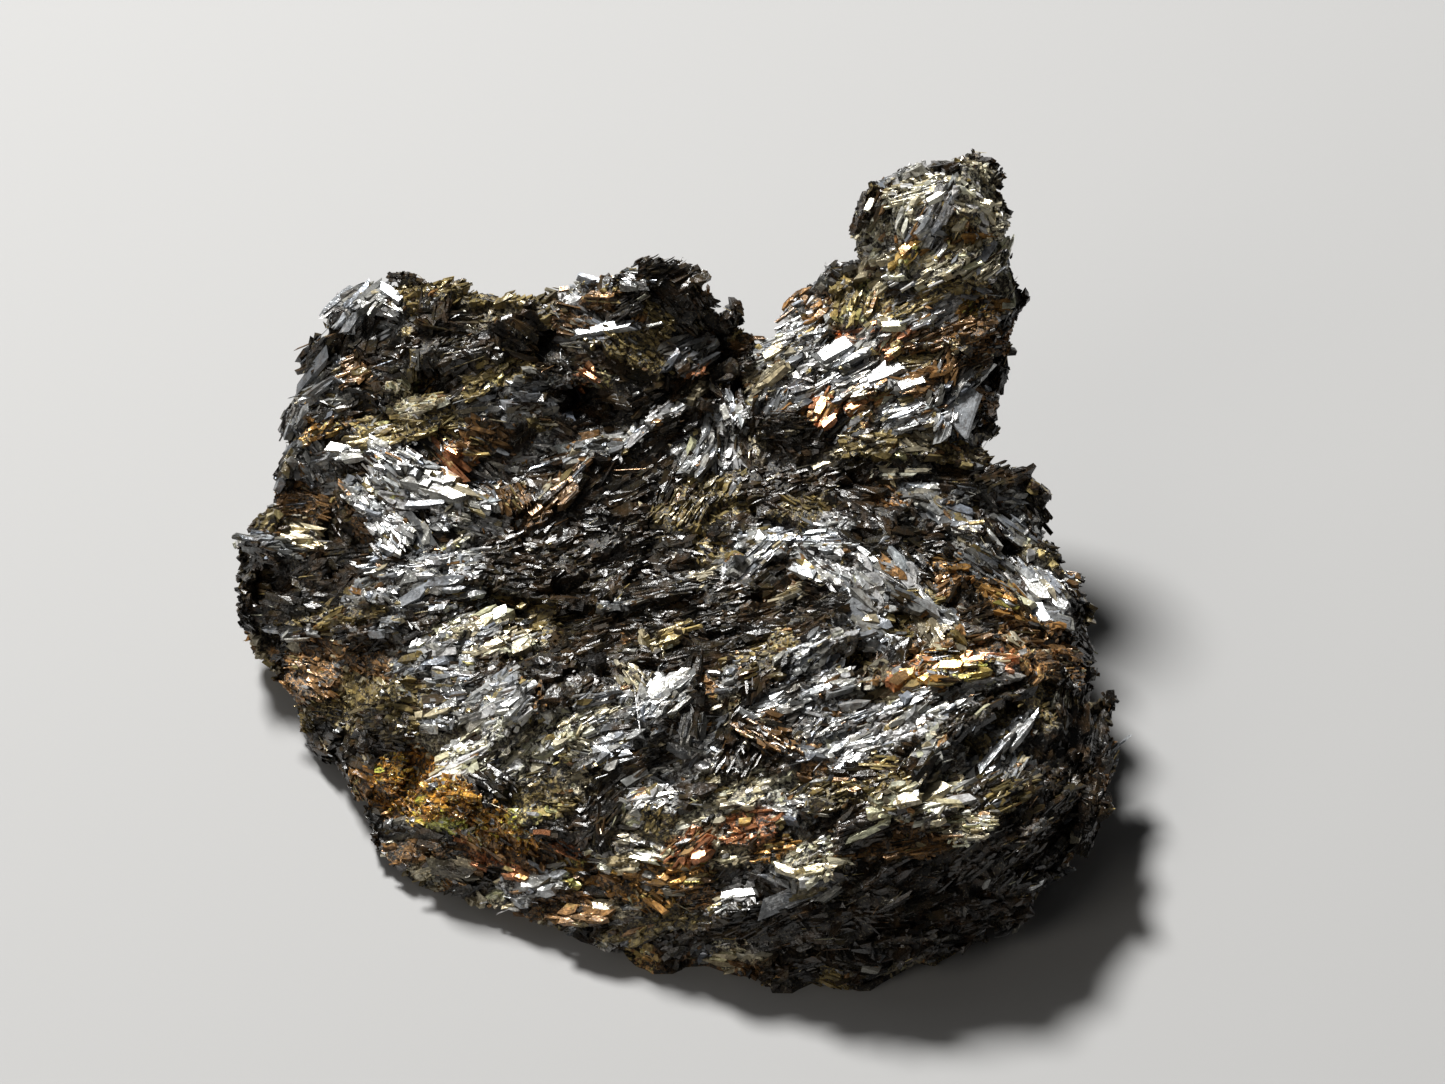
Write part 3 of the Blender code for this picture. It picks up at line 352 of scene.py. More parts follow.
# Needles take these finishes in place of the dark one, pale ones with painted glint among them. A splinter is this
# much wider than a lath. So many times the laths are drawn, and those in fibrous sheaves are kept.
NEEDLE_WIDTH = 0.05 * MM
NEEDLE_FINISHES = np.array([SILVER_PAINTED_GLINT, CREAM_PAINTED_GLINT, OLIVE, BRONZE])
SPLINTER_WIDTH = 1.3
OVERDRAWN = 4

# The skin: size and depth of its ragged sheaf borders, how sharp its chips are, how far it lies under the crystals'
# flats, and the seeds of its noises.
BORDER_SIZE, BORDER_DEPTH, BORDER_SEEDS = 0.35 * MM, 0.14 * MM, (21, 22, 23)
CHIP_POWER, CHIP_SEED, BREAK_SEED = 0.6, 3, 5
SKIN_UNDER = 0.05 * MM

GROUND = []
MATERIALS = {}


def length_prop(name, description, millimetres):
    """A property that holds a length in metres, given its default in millimetres."""
    return FloatProperty(name=name, description=description, default=millimetres * MM, min=0.0, unit="LENGTH",
                         precision=5)


def count_prop(name, description, default, least=100):
    """A property that holds how many there are of something."""
    return IntProperty(name=name, description=description, default=default, min=least)


def power_prop(name, description, default):
    """A property that holds a light's power."""
    return FloatProperty(name=name, description=description, default=default, unit="POWER")


def colour_prop(name, description, *default):
    """A property that holds a linear colour."""
    return FloatVectorProperty(name=name, description=description, default=default, size=3, min=0.0, max=1.0,
                               subtype="COLOR")


class SkinSettings(bpy.types.PropertyGroup):
    """Sizes of the broken skin under the blades."""

    refinements: IntProperty(name="Refinements", description="Times each face of the solid is split in four",
                             default=2, min=1, max=3)
    chip_size: length_prop("Chip size", "Width of the chips that roughen the skin", 0.60)
    chip_depth: length_prop("Chip depth", "How far chips stand out of or into the skin", 0.09)
    splinter_size: length_prop("Splinter size", "Width of the fine breaks along the crystals", 0.26)
    splinter_depth: length_prop("Splinter depth", "How far fine breaks stand out of or into the skin", 0.06)


class BladeSettings(bpy.types.PropertyGroup):
    """Sizes and numbers of the crystals."""

    blocks: count_prop("Blocks", "Number of short broken crystals", 15000)
    laths: count_prop("Laths", "Number of long parallel crystals", 8500)
    flakes: count_prop("Flakes", "Number of small broken bits", 22000)
    splinters: count_prop("Splinters", "Number of pointed blades", 1500)
    needles: count_prop("Needles", "Number of hair-fine needles", 2500)
    grains: count_prop("Grains", "Number of rusty grains in the low ledge", 4500)
    slab_share: FloatProperty(name="Slab share", description="Share of a bright patch that slabs cover",
                              default=0.55, min=0.0, max=2.0)
    clusters: count_prop("Clusters", "Number of clumps of sheaves that step up or down together", 230, 1)
    cluster_step: length_prop("Cluster step", "Most that a clump steps down into the stone", 0.75)
    sheaves: count_prop("Sheaves", "Number of sheaves that share a direction and tilt", 1700, 10)
    sheaf_length: length_prop("Sheaf length", "Reach of a sheaf along its crystals", 1.8)
    sheaf_width: length_prop("Sheaf width", "Reach of a sheaf across its crystals", 1.1)
    sheaf_rise: length_prop("Sheaf rise", "Most that a sheaf's flat stands out of the solid", 0.26)
    sheaf_drop: length_prop("Sheaf drop", "Most that a sheaf's flat lies under the solid's skin", 0.95)
    row_step: length_prop("Row step", "Height between one row of crystals and the next", 0.08)
    block_length: length_prop("Block length", "Usual length of a block", 0.86)
    block_width: length_prop("Block width", "Usual width of a block", 0.43)
    block_thickness: length_prop("Block thickness", "Usual thickness of a block", 0.42)
    slab_length: length_prop("Slab length", "Usual length of a slab", 1.25)
    slab_width: length_prop("Slab width", "Usual width of a slab", 0.46)
    slab_thickness: length_prop("Slab thickness", "Usual thickness of a slab or plate", 0.36)
    plate_proud: length_prop("Plate proud", "How far a plate's middle lies over the crystals round it", 0.06)
    lath_length: length_prop("Lath length", "Usual length of a lath", 1.2)
    lath_width: length_prop("Lath width", "Usual width of a lath", 0.19)
    lath_thickness: length_prop("Lath thickness", "Usual thickness of a lath", 0.22)
    flake_length: length_prop("Flake length", "Usual length of a flake", 0.34)
    flake_width: length_prop("Flake width", "Usual width of a flake", 0.22)
    grain_size: length_prop("Grain size", "Usual size of a rusty grain", 0.17)


class FinishSettings(bpy.types.PropertyGroup):
    """Colours of the crystals' faces."""

    dark: colour_prop("Dark", "Near-black amphibole", 0.006, 0.005, 0.004)
    # Silver and cream hold painted glint, pale colours for the flash of dark cleavage faces; cream also tints the
    # rock's pale specks.
    silver_painted_glint: colour_prop("Silver", "Cleavage face that flashes cold white", 0.66, 0.68, 0.68)
    cream_and_painted_glint: colour_prop("Cream", "Cleavage face that flashes warm white", 0.86, 0.75, 0.50)
    bronze: colour_prop("Bronze", "Brown cleavage face", 0.42, 0.23, 0.09)
    olive: colour_prop("Olive", "Yellow-green fibrous crystal", 0.38, 0.295, 0.12)
    copper: colour_prop("Copper", "Orange-red flash", 0.95, 0.39, 0.17)
    gold: colour_prop("Gold", "Yellow flash", 0.95, 0.51, 0.15)
    rust: colour_prop("Rust", "Iron stain in the low ledge", 0.90, 0.40, 0.06)
    straw: colour_prop("Straw", "Pale yellow-grey fibrous crystal of the horn", 0.92, 0.84, 0.60)


class StageSettings(bpy.types.PropertyGroup):
    """Camera, floor and lights."""

    elevation: FloatProperty(name="Elevation", description="Camera's angle above the floor",
                             default=math.radians(45), subtype="ANGLE")
    distance: length_prop("Distance", "Camera's distance from its target", 250.0)
    lens: FloatProperty(name="Lens", description="Focal length in millimetres", default=108.0, min=10.0)
    floor: colour_prop("Floor", "Colour of the plain floor", 0.34, 0.34, 0.34)
    key_power: power_prop("Key power", "Power of the main light", 6.8)
    soft_power: power_prop("Soft power", "Power of the broad light", 0.28)
    fill_power: power_prop("Fill power", "Power of the front light", 0.50)
    sky: FloatProperty(name="Sky", description="Strength of the even light all round", default=0.035, min=0.0)


class Wire:
    """A shader socket that takes part in sums, so that an expression on it adds its Math nodes."""

    def __init__(self, tree, socket):
        self.tree = tree
        self.socket = socket

    def _math(self, operation, first, second):
        node = self.tree.nodes.new("ShaderNodeMath")
        node.operation = operation
        for slot, value in zip(node.inputs, (first, second)):
            if isinstance(value, Wire):
                self.tree.links.new(value.socket, slot)
            else:
                slot.default_value = value
        return Wire(self.tree, node.outputs[0])

    def __add__(self, other):
        return self._math("ADD", self, other)

    def __sub__(self, other):
        return self._math("SUBTRACT", self, other)

    def __rsub__(self, other):
        return self._math("SUBTRACT", other, self)

    def __mul__(self, other):
        return self._math("MULTIPLY", self, other)

    __radd__ = __add__
    __rmul__ = __mul__


class Finish:
    """A material being made: its tree, its Principled surface and the few ways it adds nodes."""

    def __init__(self, name):
        self.material = bpy.data.materials.new(name)
        self.material.use_nodes = True
        self.tree = self.material.node_tree
        self.surface = self.tree.nodes["Principled BSDF"]

    def node(self, kind, settings=None, output=0, **sockets):
        """Adds a node of that type with its settings, then the values or links of its sockets.

        A socket is given by its name, or as an underscore and its number.
        """
        made = self.tree.nodes.new(kind)
        for name, value in (settings or {}).items():
            setattr(made, name, value)
        for name, value in sockets.items():
            self.feed(made.inputs[int(name[1:]) if name[1:].isdigit() else name], value)
        return Wire(self.tree, made.outputs[output])

    def feed(self, socket, value):
        """Links a wire to the socket, or sets the socket's own value."""
        if isinstance(value, Wire):
            self.tree.links.new(value.socket, socket)
        else:
            socket.default_value = value

    def place(self):
        """The place on the stone, in its own metres."""
        return self.node("ShaderNodeTexCoord", output=3)

    def attribute(self, name, output=0):
        """What is kept on each point of the piece: a colour, or as output 2 a number, or as 3 a colour's alpha."""
        return self.node("ShaderNodeAttribute", {"attribute_name": name}, output)

    def lay_place(self, lay):
        """The place on a crystal, stretched so that a pattern runs in streaks down its length."""
        uv = self.node("ShaderNodeUVMap", {"uv_map": "Crystal"})
        return self.node("ShaderNodeVectorMath", {"operation": "MULTIPLY"}, _0=uv, _1=(*lay, 1.0))

    def noise(self, place, scale, detail, roughness):
        return self.node("ShaderNodeTexNoise", Vector=place, Scale=scale, Detail=detail, Roughness=roughness)

    def stretch(self, value, low, high, new_low=0.0, new_high=1.0):
        """Takes a value from one range to another and holds it there."""
        return self.node("ShaderNodeMapRange", {"clamp": True}, _0=value, _1=low, _2=high, _3=new_low, _4=new_high)

    def marks(self, place, pattern):
        """Where a pattern's marks lie, from 0 where there are none to 1 where they are full."""
        scale, detail, roughness, start, full = pattern
        return self.stretch(self.noise(place, scale, detail, roughness), start, full)

    def mix(self, share, first, second):
        """Blends two colours, the second by the given share."""
        first, second = (c if isinstance(c, Wire) else (*c, 1.0) for c in (first, second))
        return self.node("ShaderNodeMix", {"data_type": "RGBA"}, 2, _0=share, _6=first, _7=second)

    def raised(self, place, pattern, **under):
        """A normal raised by a pattern's value times its depth, over the normal that may be under it."""
        scale, detail, roughness, depth = pattern
        height = self.noise(place, scale, detail, roughness)
        return self.node("ShaderNodeBump", Height=height, Distance=depth, Strength=1.0, **under)

    def finish(self, colour, roughness, metallic, normal):
        """Feeds the surface. What is the same all over goes on its own sockets."""
        fed = {"Base Color": colour, "Roughness": roughness, "Metallic": metallic, "Normal": normal,
               "IOR": INDEX_OF_REFRACTION}
        for name, value in fed.items():
            self.feed(self.surface.inputs[name], value)
        return self.material


def scaled(colour, factor):
    """A colour made darker or lighter."""
    return tuple(min(1.0, channel * factor) for channel in colour)


def skin_material(colours):
    """The rock between the blades: its sheaf's tone, mottled by dark mineral, brown stain and pale specks."""
    finish = Finish("broken_rock")
    place = finish.place()
    cloud = finish.marks(place, ROCK_CLOUD)
    colour = finish.mix(cloud, scaled(colours.dark, ROCK_DARK), finish.attribute("tone"))
    stain = finish.marks(place, ROCK_STAIN) * STAIN_COVERS
    colour = finish.mix(stain, colour, scaled(colours.bronze, ROCK_BRONZE))
    specks = finish.marks(place, ROCK_SPECKS) * SPECKS_COVER
    colour = finish.mix(specks, colour, scaled(colours.cream_and_painted_glint, ROCK_CREAM))
    roughness = finish.stretch(finish.noise(place, *ROCK_GLOSS), *ROCK_ROUGHNESS)
    normal = finish.raised(place, ROCK_CHIPS, Normal=finish.raised(place, ROCK_GRAIN))
    return finish.finish(colour, roughness, finish.attribute("shine", 2) * cloud, normal)


def crystal_material(colours):
    """Cleavage faces: each crystal's tone, mottled and streaked down its length, with fine steps and striations."""
    finish = Finish("amphibole_crystal")
    place = finish.place()
    shine = finish.attribute("shine", 2)
    streaks = finish.marks(finish.lay_place(STREAK_LAY), FACE_STREAKS)
    cloud = finish.marks(place, FACE_CLOUD)
    shade = finish.mix(finish.marks(place, FACE_STAIN), scaled(colours.dark, FACE_DARK),
                       scaled(colours.bronze, FACE_BRONZE))
    worn = (1 - shine * SHINE_KEEPS) * finish.attribute("tone", 3)
    face = finish.mix(streaks * STREAKS_HIDE * worn, finish.attribute("tone"), shade)
    face = finish.mix(cloud * CLOUD_HIDES * worn, face, shade)
    face = finish.mix(finish.marks(place, FACE_BLOTCHES) * BLOTCHES_HIDE * worn, face, shade)
    roughness = finish.stretch(streaks + cloud, *FACE_ROUGHNESS)
    gleam = shine * finish.stretch(streaks + cloud, *FACE_SHINE)
    striations = finish.raised(finish.lay_place(STRIATION_LAY), FACE_STRIATIONS)
    return finish.finish(face, roughness, gleam, finish.raised(place, FACE_STEPS, Normal=striations))


def unit(vectors):
    """Each row scaled to length one."""
    return vectors / np.maximum(np.linalg.norm(vectors, axis=-1, keepdims=True), 1e-12)


def dot(first, second):
    """Row by row, the sum of products."""
    return (first * second).sum(-1, keepdims=True)


def turned(axis, other, angle):
    """The axis turned towards the other, which is square to it: cosine of one plus sine of the other."""
    return axis * np.cos(angle)[:, None] + other * np.sin(angle)[:, None]


def hashed(cells, seed):
    """A number from -1 to 1 for each whole-numbered cell, the same each run."""
    first, second, third, fourth, last = HASH_PRIMES
    mixed = (cells[:, 0] * first) ^ (cells[:, 1] * second) ^ (cells[:, 2] * third) ^ (seed * fourth)
    mixed = (mixed ^ (mixed >> 13)) * last
    return ((mixed ^ (mixed >> 16)) & 0xFFFF) / 32767.5 - 1


def lattice_noise(places, size, seed):
    """Smooth noise: numbers at the corners of cubic cells, blended by the smoothstep of the place in its cell."""
    spread = places / size
    cell = np.floor(spread).astype(np.int64)
    part = spread - cell
    part = part * part * (3 - 2 * part)
    total = np.zeros(len(places))
    for corner in np.ndindex(2, 2, 2):
        weight = np.where(np.array(corner) == 1, part, 1 - part).prod(1)
        total += weight * hashed(cell + np.array(corner), seed)
    return total


def read_stone():
    """The solid's points and triangles, with the loose corners of its mesh welded."""
    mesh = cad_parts[STONE].data
    mesh.calc_loop_triangles()
    points = np.empty(len(mesh.vertices) * 3, np.float32)
    mesh.vertices.foreach_get("co", points)
    points = points.reshape(-1, 3)
    corners = np.empty(len(mesh.loop_triangles) * 3, np.int32)
    mesh.loop_triangles.foreach_get("vertices", corners)
    _, first, welded = np.unique(np.round(points / WELD).astype(np.int64), axis=0, return_index=True,
                                 return_inverse=True)
    triangles = welded.ravel()[corners].reshape(-1, 3)
    whole = (triangles != np.roll(triangles, 1, axis=1)).all(1)
    return points[first].astype(float), triangles[whole]


def facet_normals(points, triangles):
    """Normal of each triangle, as long as twice its area."""
    corner = points[triangles]
    return np.cross(corner[:, 1] - corner[:, 0], corner[:, 2] - corner[:, 0])


def gathered(values, triangles, count):
    """At each point, the sum of the values of the triangles round it."""
    total = np.empty((count, values.shape[1]))
    for axis in range(values.shape[1]):
        total[:, axis] = np.bincount(triangles.ravel(), np.repeat(values[:, axis], 3), count)
    return total


def smoothed_normals(points, triangles, rounds):
    """Normals at the points, averaged over a wider neighbourhood with each round."""
    normals = unit(gathered(facet_normals(points, triangles), triangles, len(points)))
    for _ in range(rounds):
        normals = unit(gathered(normals[triangles].sum(1), triangles, len(points)))
    return normals


def refined(points, triangles):
    """Splits each triangle in four at the middles of its sides."""
    sides = np.sort(np.concatenate([triangles[:, [0, 1]], triangles[:, [1, 2]], triangles[:, [2, 0]]]), axis=1)
    middles, which = np.unique(sides, axis=0, return_inverse=True)
    first, second, third = which.ravel().reshape(3, -1) + len(points)
    a, b, c = triangles.T
    split = [(a, first, third), (first, b, second), (third, second, c), (first, second, third)]
    points = np.concatenate([points, points[middles].mean(1)])
    return points, np.concatenate([np.stack(part, axis=1) for part in split])


def view_axes(elevation):
    """Unit axes of the photograph's view: to its right, up it, and towards the camera."""
    right = np.array([1.0, 0.0, 0.0])
    up = np.array([0.0, math.sin(elevation), math.cos(elevation)])
    toward = np.array([0.0, -math.cos(elevation), math.sin(elevation)])
    return right, up, toward


def photo_place(places, stage):
    """Where each place falls in the photograph, in its pixels across and down."""
    right, up, toward = view_axes(stage.elevation)
    offset = places - np.array(CAMERA_TARGET)
    pixels = stage.lens / SENSOR_WIDTH * PHOTO_WIDTH / (stage.distance - offset @ toward)
    return np.column_stack([PHOTO_WIDTH / 2 + offset @ right * pixels, PHOTO_HEIGHT / 2 - offset @ up * pixels])


def patch_distance(places, stage):
    """Distance from each place to each patch, as a multiple of the patch's own half-sizes."""
    table = np.array(PATCHES, float)
    offset = photo_place(places, stage)[:, None, :] - table[None, :, :2]
    angle = np.radians(table[:, TURN])
    along = offset[..., 0] * np.cos(angle) - offset[..., 1] * np.sin(angle)
    across = offset[..., 0] * np.sin(angle) + offset[..., 1] * np.cos(angle)
    return np.sqrt((along / table[:, LONG]) ** 2 + (across / table[:, WIDE]) ** 2)


def patch_direction(distance):
    """The way the crystals run at each place, in radians in the photograph: the near patches' mean."""
    pull = 1 / (distance**2 + PULL_SOFTNESS) ** 2
    doubled = 2 * np.radians([patch[TURN] for patch in PATCHES])
    return 0.5 * np.arctan2(pull @ np.sin(doubled), pull @ np.cos(doubled))


def laid_in_skin(angle, normals, stage):
    """The direction in the skin that runs at that angle in the photograph's view."""
    right, up, toward = view_axes(stage.elevation)
    seen = np.cos(angle)[:, None] * right + np.sin(angle)[:, None] * up
    facing = dot(normals, toward)
    steady = np.where(np.abs(facing) < LEAST_SLANT, np.where(facing < 0, -LEAST_SLANT, LEAST_SLANT), facing)
    lean = np.clip(-dot(normals, seen) / steady, -MOST_LEAN, MOST_LEAN)
    run = seen + lean * toward
    return unit(run - dot(run, normals) * normals)


class Ground:
    """The stone's skin as a ground to lay crystals on: its triangles, sheaves and what each sheaf is like."""

    def __init__(self, settings, stage):
        self.random = np.random.default_rng(SEED)
        self.settings = settings
        self.stage = stage
        self.toward = view_axes(stage.elevation)[2]
        self.table = np.array(PATCHES, float)
        self.points, self.triangles = read_stone()
        self.facets = facet_normals(self.points, self.triangles)
        resting = self.points[self.triangles][:, :, 2].max(1) < RESTING
        self.areas = np.where(resting, 0.0, np.linalg.norm(self.facets, axis=1) / 2)
        self.broad = smoothed_normals(self.points, self.triangles, BROAD_ROUNDS)
        self.view_spots = self.seen_from_front(self.scatter(VIEW_PLACES))
        self.make_sheaves(settings.sheaves)

    def scatter(self, count):
        """Places spread evenly over the skin, with the facet's normal and the broad normal of each."""
        which = self.random.choice(len(self.triangles), count, p=self.areas / self.areas.sum())
        first, second = np.sqrt(self.random.random(count)), self.random.random(count)
        share = np.column_stack([1 - first, first * (1 - second), first * second])
        corner = self.points[self.triangles[which]]
        places = np.einsum("nc,ncx->nx", share, corner)
        broad = unit(np.einsum("nc,ncx->nx", share, self.broad[self.triangles[which]]))
        return places, unit(self.facets[which]), broad

    def seen_from_front(self, spots):
        """Those of the spots whose skin faces the camera."""
        facing = spots[2] @ self.toward > SEEN
        return [part[facing] for part in spots]

    def spots_at(self, pixels):
        """The spots on the skin that the photograph shows at these pixels: the nearest, in front before behind."""
        seen = photo_place(self.view_spots[0], self.stage)
        nearness = self.view_spots[0] @ self.toward / MM * NEARER
        chosen = np.empty(len(pixels), int)
        for start in range(0, len(pixels), BATCH):
            part = slice(start, start + BATCH)
            apart = ((pixels[part, None, :] - seen[None, :, :]) ** 2).sum(2)
            chosen[part] = (apart - nearness).argmin(1)
        return [part[chosen] for part in self.view_spots]

    def pixels_in(self, patch, along, across):
        """The pixel in each patch at these shares of its half-length and half-width."""
        u, v, length, width, degrees = self.table[patch, :KIND].T
        angle = np.radians(degrees)
        run, side = along * length, across * width
        return np.column_stack([
            u + run * np.cos(angle) + side * np.sin(angle), v - run * np.sin(angle) + side * np.cos(angle)])

    def common_sheaves(self, count):
        """Sheaves at random places, mostly kept out of the patches, each in the order that make_sheaves takes."""
        random = self.random
        spots = self.scatter(count)
        distance = patch_distance(spots[0], self.stage)
        seen = spots[2] @ self.toward > COMMON_SEEN
        nearest, apart = distance.argmin(1), distance.min(1)
        kept = ~seen | (apart > CLEAR) | (random.random(count) < LET_IN)
        inside = seen & (apart < PATCH_EDGE)
        finish = np.where(inside, self.table[nearest, KIND], self.common_finish(count))
        glint = np.where(inside, self.table[nearest, GLINT], random.random(count) ** GLINT_POWER * COMMON_GLINT)
        angle = patch_direction(distance) + random.normal(0, np.where(inside, TURN_INSIDE, TURN_OUTSIDE), count)
        roll = random.normal(0, COMMON_ROLL, count) * (LIVELY - glint)
        pitch = random.normal(0, COMMON_PITCH, count)
        depth = random.normal(0, COMMON_DEPTH, count) - DEEP * (random.random(count) < DEEP_SHARE)
        bright = random.normal(0, COMMON_BRIGHT, count)
        pull = np.where(random.random(count) < TURNED_SHARE, MOST_TURNED, FEW_TURNED)
        made = [*spots, finish, glint, angle, roll, pitch, depth, np.ones(count), np.ones(count), bright, pull]
        return [part[kept] for part in made], random.normal(0, COMMON_TILT, (kept.sum(), 3))

    def patch_sheaves(self):
        """Sheaves set along each patch of the photograph. Those of one patch share its tilt, step and finish."""
        random, table = self.random, self.table
        counts = np.maximum(1, np.round(table[:, LONG] / PATCH_SPACING)).astype(int)
        patch = np.repeat(np.arange(len(table)), counts)
        order = np.arange(len(patch)) - np.repeat(np.cumsum(counts) - counts, counts)
        along = (2 * (order + 0.5) / counts[patch] - 1) * PATCH_FILLED
        spots = self.spots_at(self.pixels_in(patch, along, random.normal(0, PATCH_ASIDE, len(patch))))
        finish, glint = table[patch, KIND], table[patch, GLINT]
        angle = np.radians(table[patch, TURN]) + random.normal(0, PATCH_TURN, len(patch))
        spreads = PATCH_ROLL, PATCH_PITCH, PATCH_DEPTH, PATCH_BRIGHT
        roll, pitch, depth, bright = (random.normal(0, spread, len(table))[patch] for spread in spreads)
        depth = depth + PATCH_OUT - np.where(finish == DARK, DARK_IN, 0.0)
        long = np.clip(table[patch, LONG] / USUAL_LONG, *LONG_RANGE)
        wide = np.clip(table[patch, WIDE] / USUAL_WIDE, *WIDE_RANGE)
        tilt = random.normal(0, PATCH_TILT, (len(table), 3))[patch] + random.normal(0, OWN_TILT, (len(patch), 3))
        made = [*spots, finish, glint, angle, roll * (LIVELY - glint), pitch, depth, long, wide, bright,
                np.full(len(patch), PATCH_TURNED)]
        return made, tilt

    def make_sheaves(self, count):
        """All sheaves of the stone: their hearts, axes, reach, finish, glint and brightness."""
        common, common_tilt = self.common_sheaves(count)
        patched, patch_tilt = self.patch_sheaves()
        joined = [np.concatenate(parts) for parts in zip(common, patched)]
        places, facet, broad, finish, self.glint, angle, roll, pitch, depth, long, wide, bright, pull = joined
        total = len(places)
        normals = unit(facet * FACET_SHARE + broad)
        along = laid_in_skin(angle, normals, self.stage)
        across = np.cross(normals, along)
        upright = turned(normals, across, roll)
        self.along, self.upright = turned(along, upright, pitch), turned(upright, -along, pitch)
        self.finish = finish.astype(int)
        self.size = FINENESS[self.finish] * np.exp(np.clip(self.random.normal(0, SIZE_SPREAD, total), *SIZE_RANGE))
        self.bright = np.exp(bright)
        self.fibrous = self.random.random(total) < FIBROUS_SHARE
        self.reach = np.column_stack([self.settings.sheaf_length * long, self.settings.sheaf_width * wide])
        step = self.clump_step(places)
        step[len(common[0]):] *= PATCH_STEP
        self.heart = places + broad * (depth * MM + step)[:, None]
        tilt = np.concatenate([common_tilt, patch_tilt])
        self.along, self.upright = self.lit(self.along, self.upright, self.glint * pull, tilt, SHEAF_STIFF)
        self.across = np.cross(self.upright, self.along)

    def clump_step(self, places):
        """Step of the clump of sheaves that each place lies in: the nearest clump's, up or down."""
        hearts = self.scatter(self.settings.clusters)[0]
        level = self.random.uniform(*CLUMP_RANGE, self.settings.clusters) * self.settings.cluster_step
        apart = ((places[:, None, :] - hearts[None, :, :]) ** 2).sum(2)
        return level[apart.argmin(1)]

    def common_finish(self, count):
        """Finishes drawn from the stone's common mix."""
        return self.random.choice(list(COMMON_SHARES), count, p=list(COMMON_SHARES.values()))

    def lit(self, along, upright, pull, tilt, stiff):
        """Long and upright axes rolled towards the normal that would mirror the key light to the camera."""
        wanted = unit(unit(np.array(LIGHTS["key"][0]))[None, :] + self.toward[None, :])
        wanted = unit(wanted + tilt)
        rolled = unit(upright * (1 - pull[:, None]) + wanted * pull[:, None])
        rolled = unit(rolled - dot(rolled, along) * along * stiff)
        return unit(along - dot(along, rolled) * rolled), rolled

    def sheaf_of(self, places):
        """The sheaf that each place lies in: the nearest, measured shorter along the crystals than across."""
        long, wide = self.reach[:, :1], self.reach[:, 1:]
        axes = np.stack([self.along / long, self.across / wide, self.upright / wide])
        hearts = np.einsum("amx,mx->am", axes, self.heart)
        nearest = np.empty(len(places), int)
        for start in range(0, len(places), SHEAF_BATCH):
            part = slice(start, start + SHEAF_BATCH)
            offset = places[part] @ axes.transpose(0, 2, 1) - hearts[:, None, :]
            nearest[part] = (offset**2).sum(0).argmin(1)
        return nearest

    def rise(self, places, broad, sheaf):
        """How far each place moves out of the skin to lie in its sheaf's flat, eased off at the greatest step."""
        height = dot(self.heart[sheaf] - places, self.upright[sheaf])[:, 0]
        facing = np.maximum(dot(self.upright[sheaf], broad)[:, 0], LEAST_FACING)
        height = height / facing
        most = np.where(height > 0, self.settings.sheaf_rise, self.settings.sheaf_drop)
        return most * np.tanh(height / most) - SUNK

    def own_finish(self, sheaf):
        """The finish of each crystal of a sheaf: mostly the sheaf's own, otherwise from the common mix."""
        kept = self.random.random(len(sheaf)) < OWN_SHARES[self.finish[sheaf]]
        return np.where(kept, self.finish[sheaf], self.common_finish(len(sheaf)))

    def tones(self, finish, sheaf, colours, spread):
        """Each crystal's colour, with how far it may be stained as its alpha, and its shine.

        The colour is its finish's, brighter or darker by sheaf and by crystal; painted shade darkens metal off the
        light.
        """
        count = len(finish)
        palette = np.array([list(getattr(colours, name)) for name in FINISH_NAMES])
        metal = SHINE[finish]
        level = self.bright[sheaf] * np.exp(self.random.normal(0, spread, count))
        # Painted shade: a metallic crystal is darker the less its sheaf's faces catch the light.
        level *= 1 - metal * PAINTED_SHADE_OFF_LIGHT * (1 - self.glint[sheaf])
        tone = palette[finish] * level[:, None] * (1 + self.random.normal(0, 1, (count, 1)) * WARMER)
        brown = self.random.random(count) ** BROWN_POWER * (finish == DARK)
        tone += brown[:, None] * np.array(list(colours.olive)) * BROWN_SHARE
        shine = metal * self.random.uniform(*SHINE_RANGE, count)
        return np.column_stack([np.clip(tone, 0, PALEST), STAINED[finish]]), shine


def new_piece(name, points, faces, material, tones, shine):
    """A piece of the stone from whole arrays of points and same-sided faces, riding on the stone's body."""
    mesh = bpy.data.meshes.new(name)
    sides = faces.shape[1]
    mesh.vertices.add(len(points))
    mesh.vertices.foreach_set("co", points.astype(np.float32).ravel())
    mesh.loops.add(faces.size)
    mesh.loops.foreach_set("vertex_index", faces.astype(np.int32).ravel())
    mesh.polygons.add(len(faces))
    mesh.polygons.foreach_set("loop_start", np.arange(0, faces.size, sides, dtype=np.int32))
    mesh.polygons.foreach_set("use_smooth", np.zeros(len(faces), bool))
    mesh.attributes.new("tone", "FLOAT_COLOR", "POINT").data.foreach_set("color", tones.astype(np.float32).ravel())
    mesh.attributes.new("shine", "FLOAT", "POINT").data.foreach_set("value", shine.astype(np.float32))
    mesh.materials.append(material)
    mesh.update(calc_edges=True)
    piece = bpy.data.objects.new(name, mesh)
    bpy.context.scene.collection.objects.link(piece)
    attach(piece, BODY)
    return piece


def add_uv(piece, name, corners):
    """Lays a UV map on a piece, one place for each corner of each face."""
    layer = piece.data.uv_layers.new(name=name)
    layer.data.foreach_set("uv", corners.astype(np.float32).ravel())


def stone_ground(context):
    """The ground that every operator lays its crystals on, made once."""
    if not GROUND:
        GROUND.append(Ground(context.scene.nuummite_blades, context.scene.nuummite_stage))
    return GROUND[0]


def crystal_material_once(context):
    """The crystals' material, made when first asked for."""
    if not MATERIALS:
        MATERIALS["crystal"] = crystal_material(context.scene.nuummite_finishes)
    return MATERIALS["crystal"]


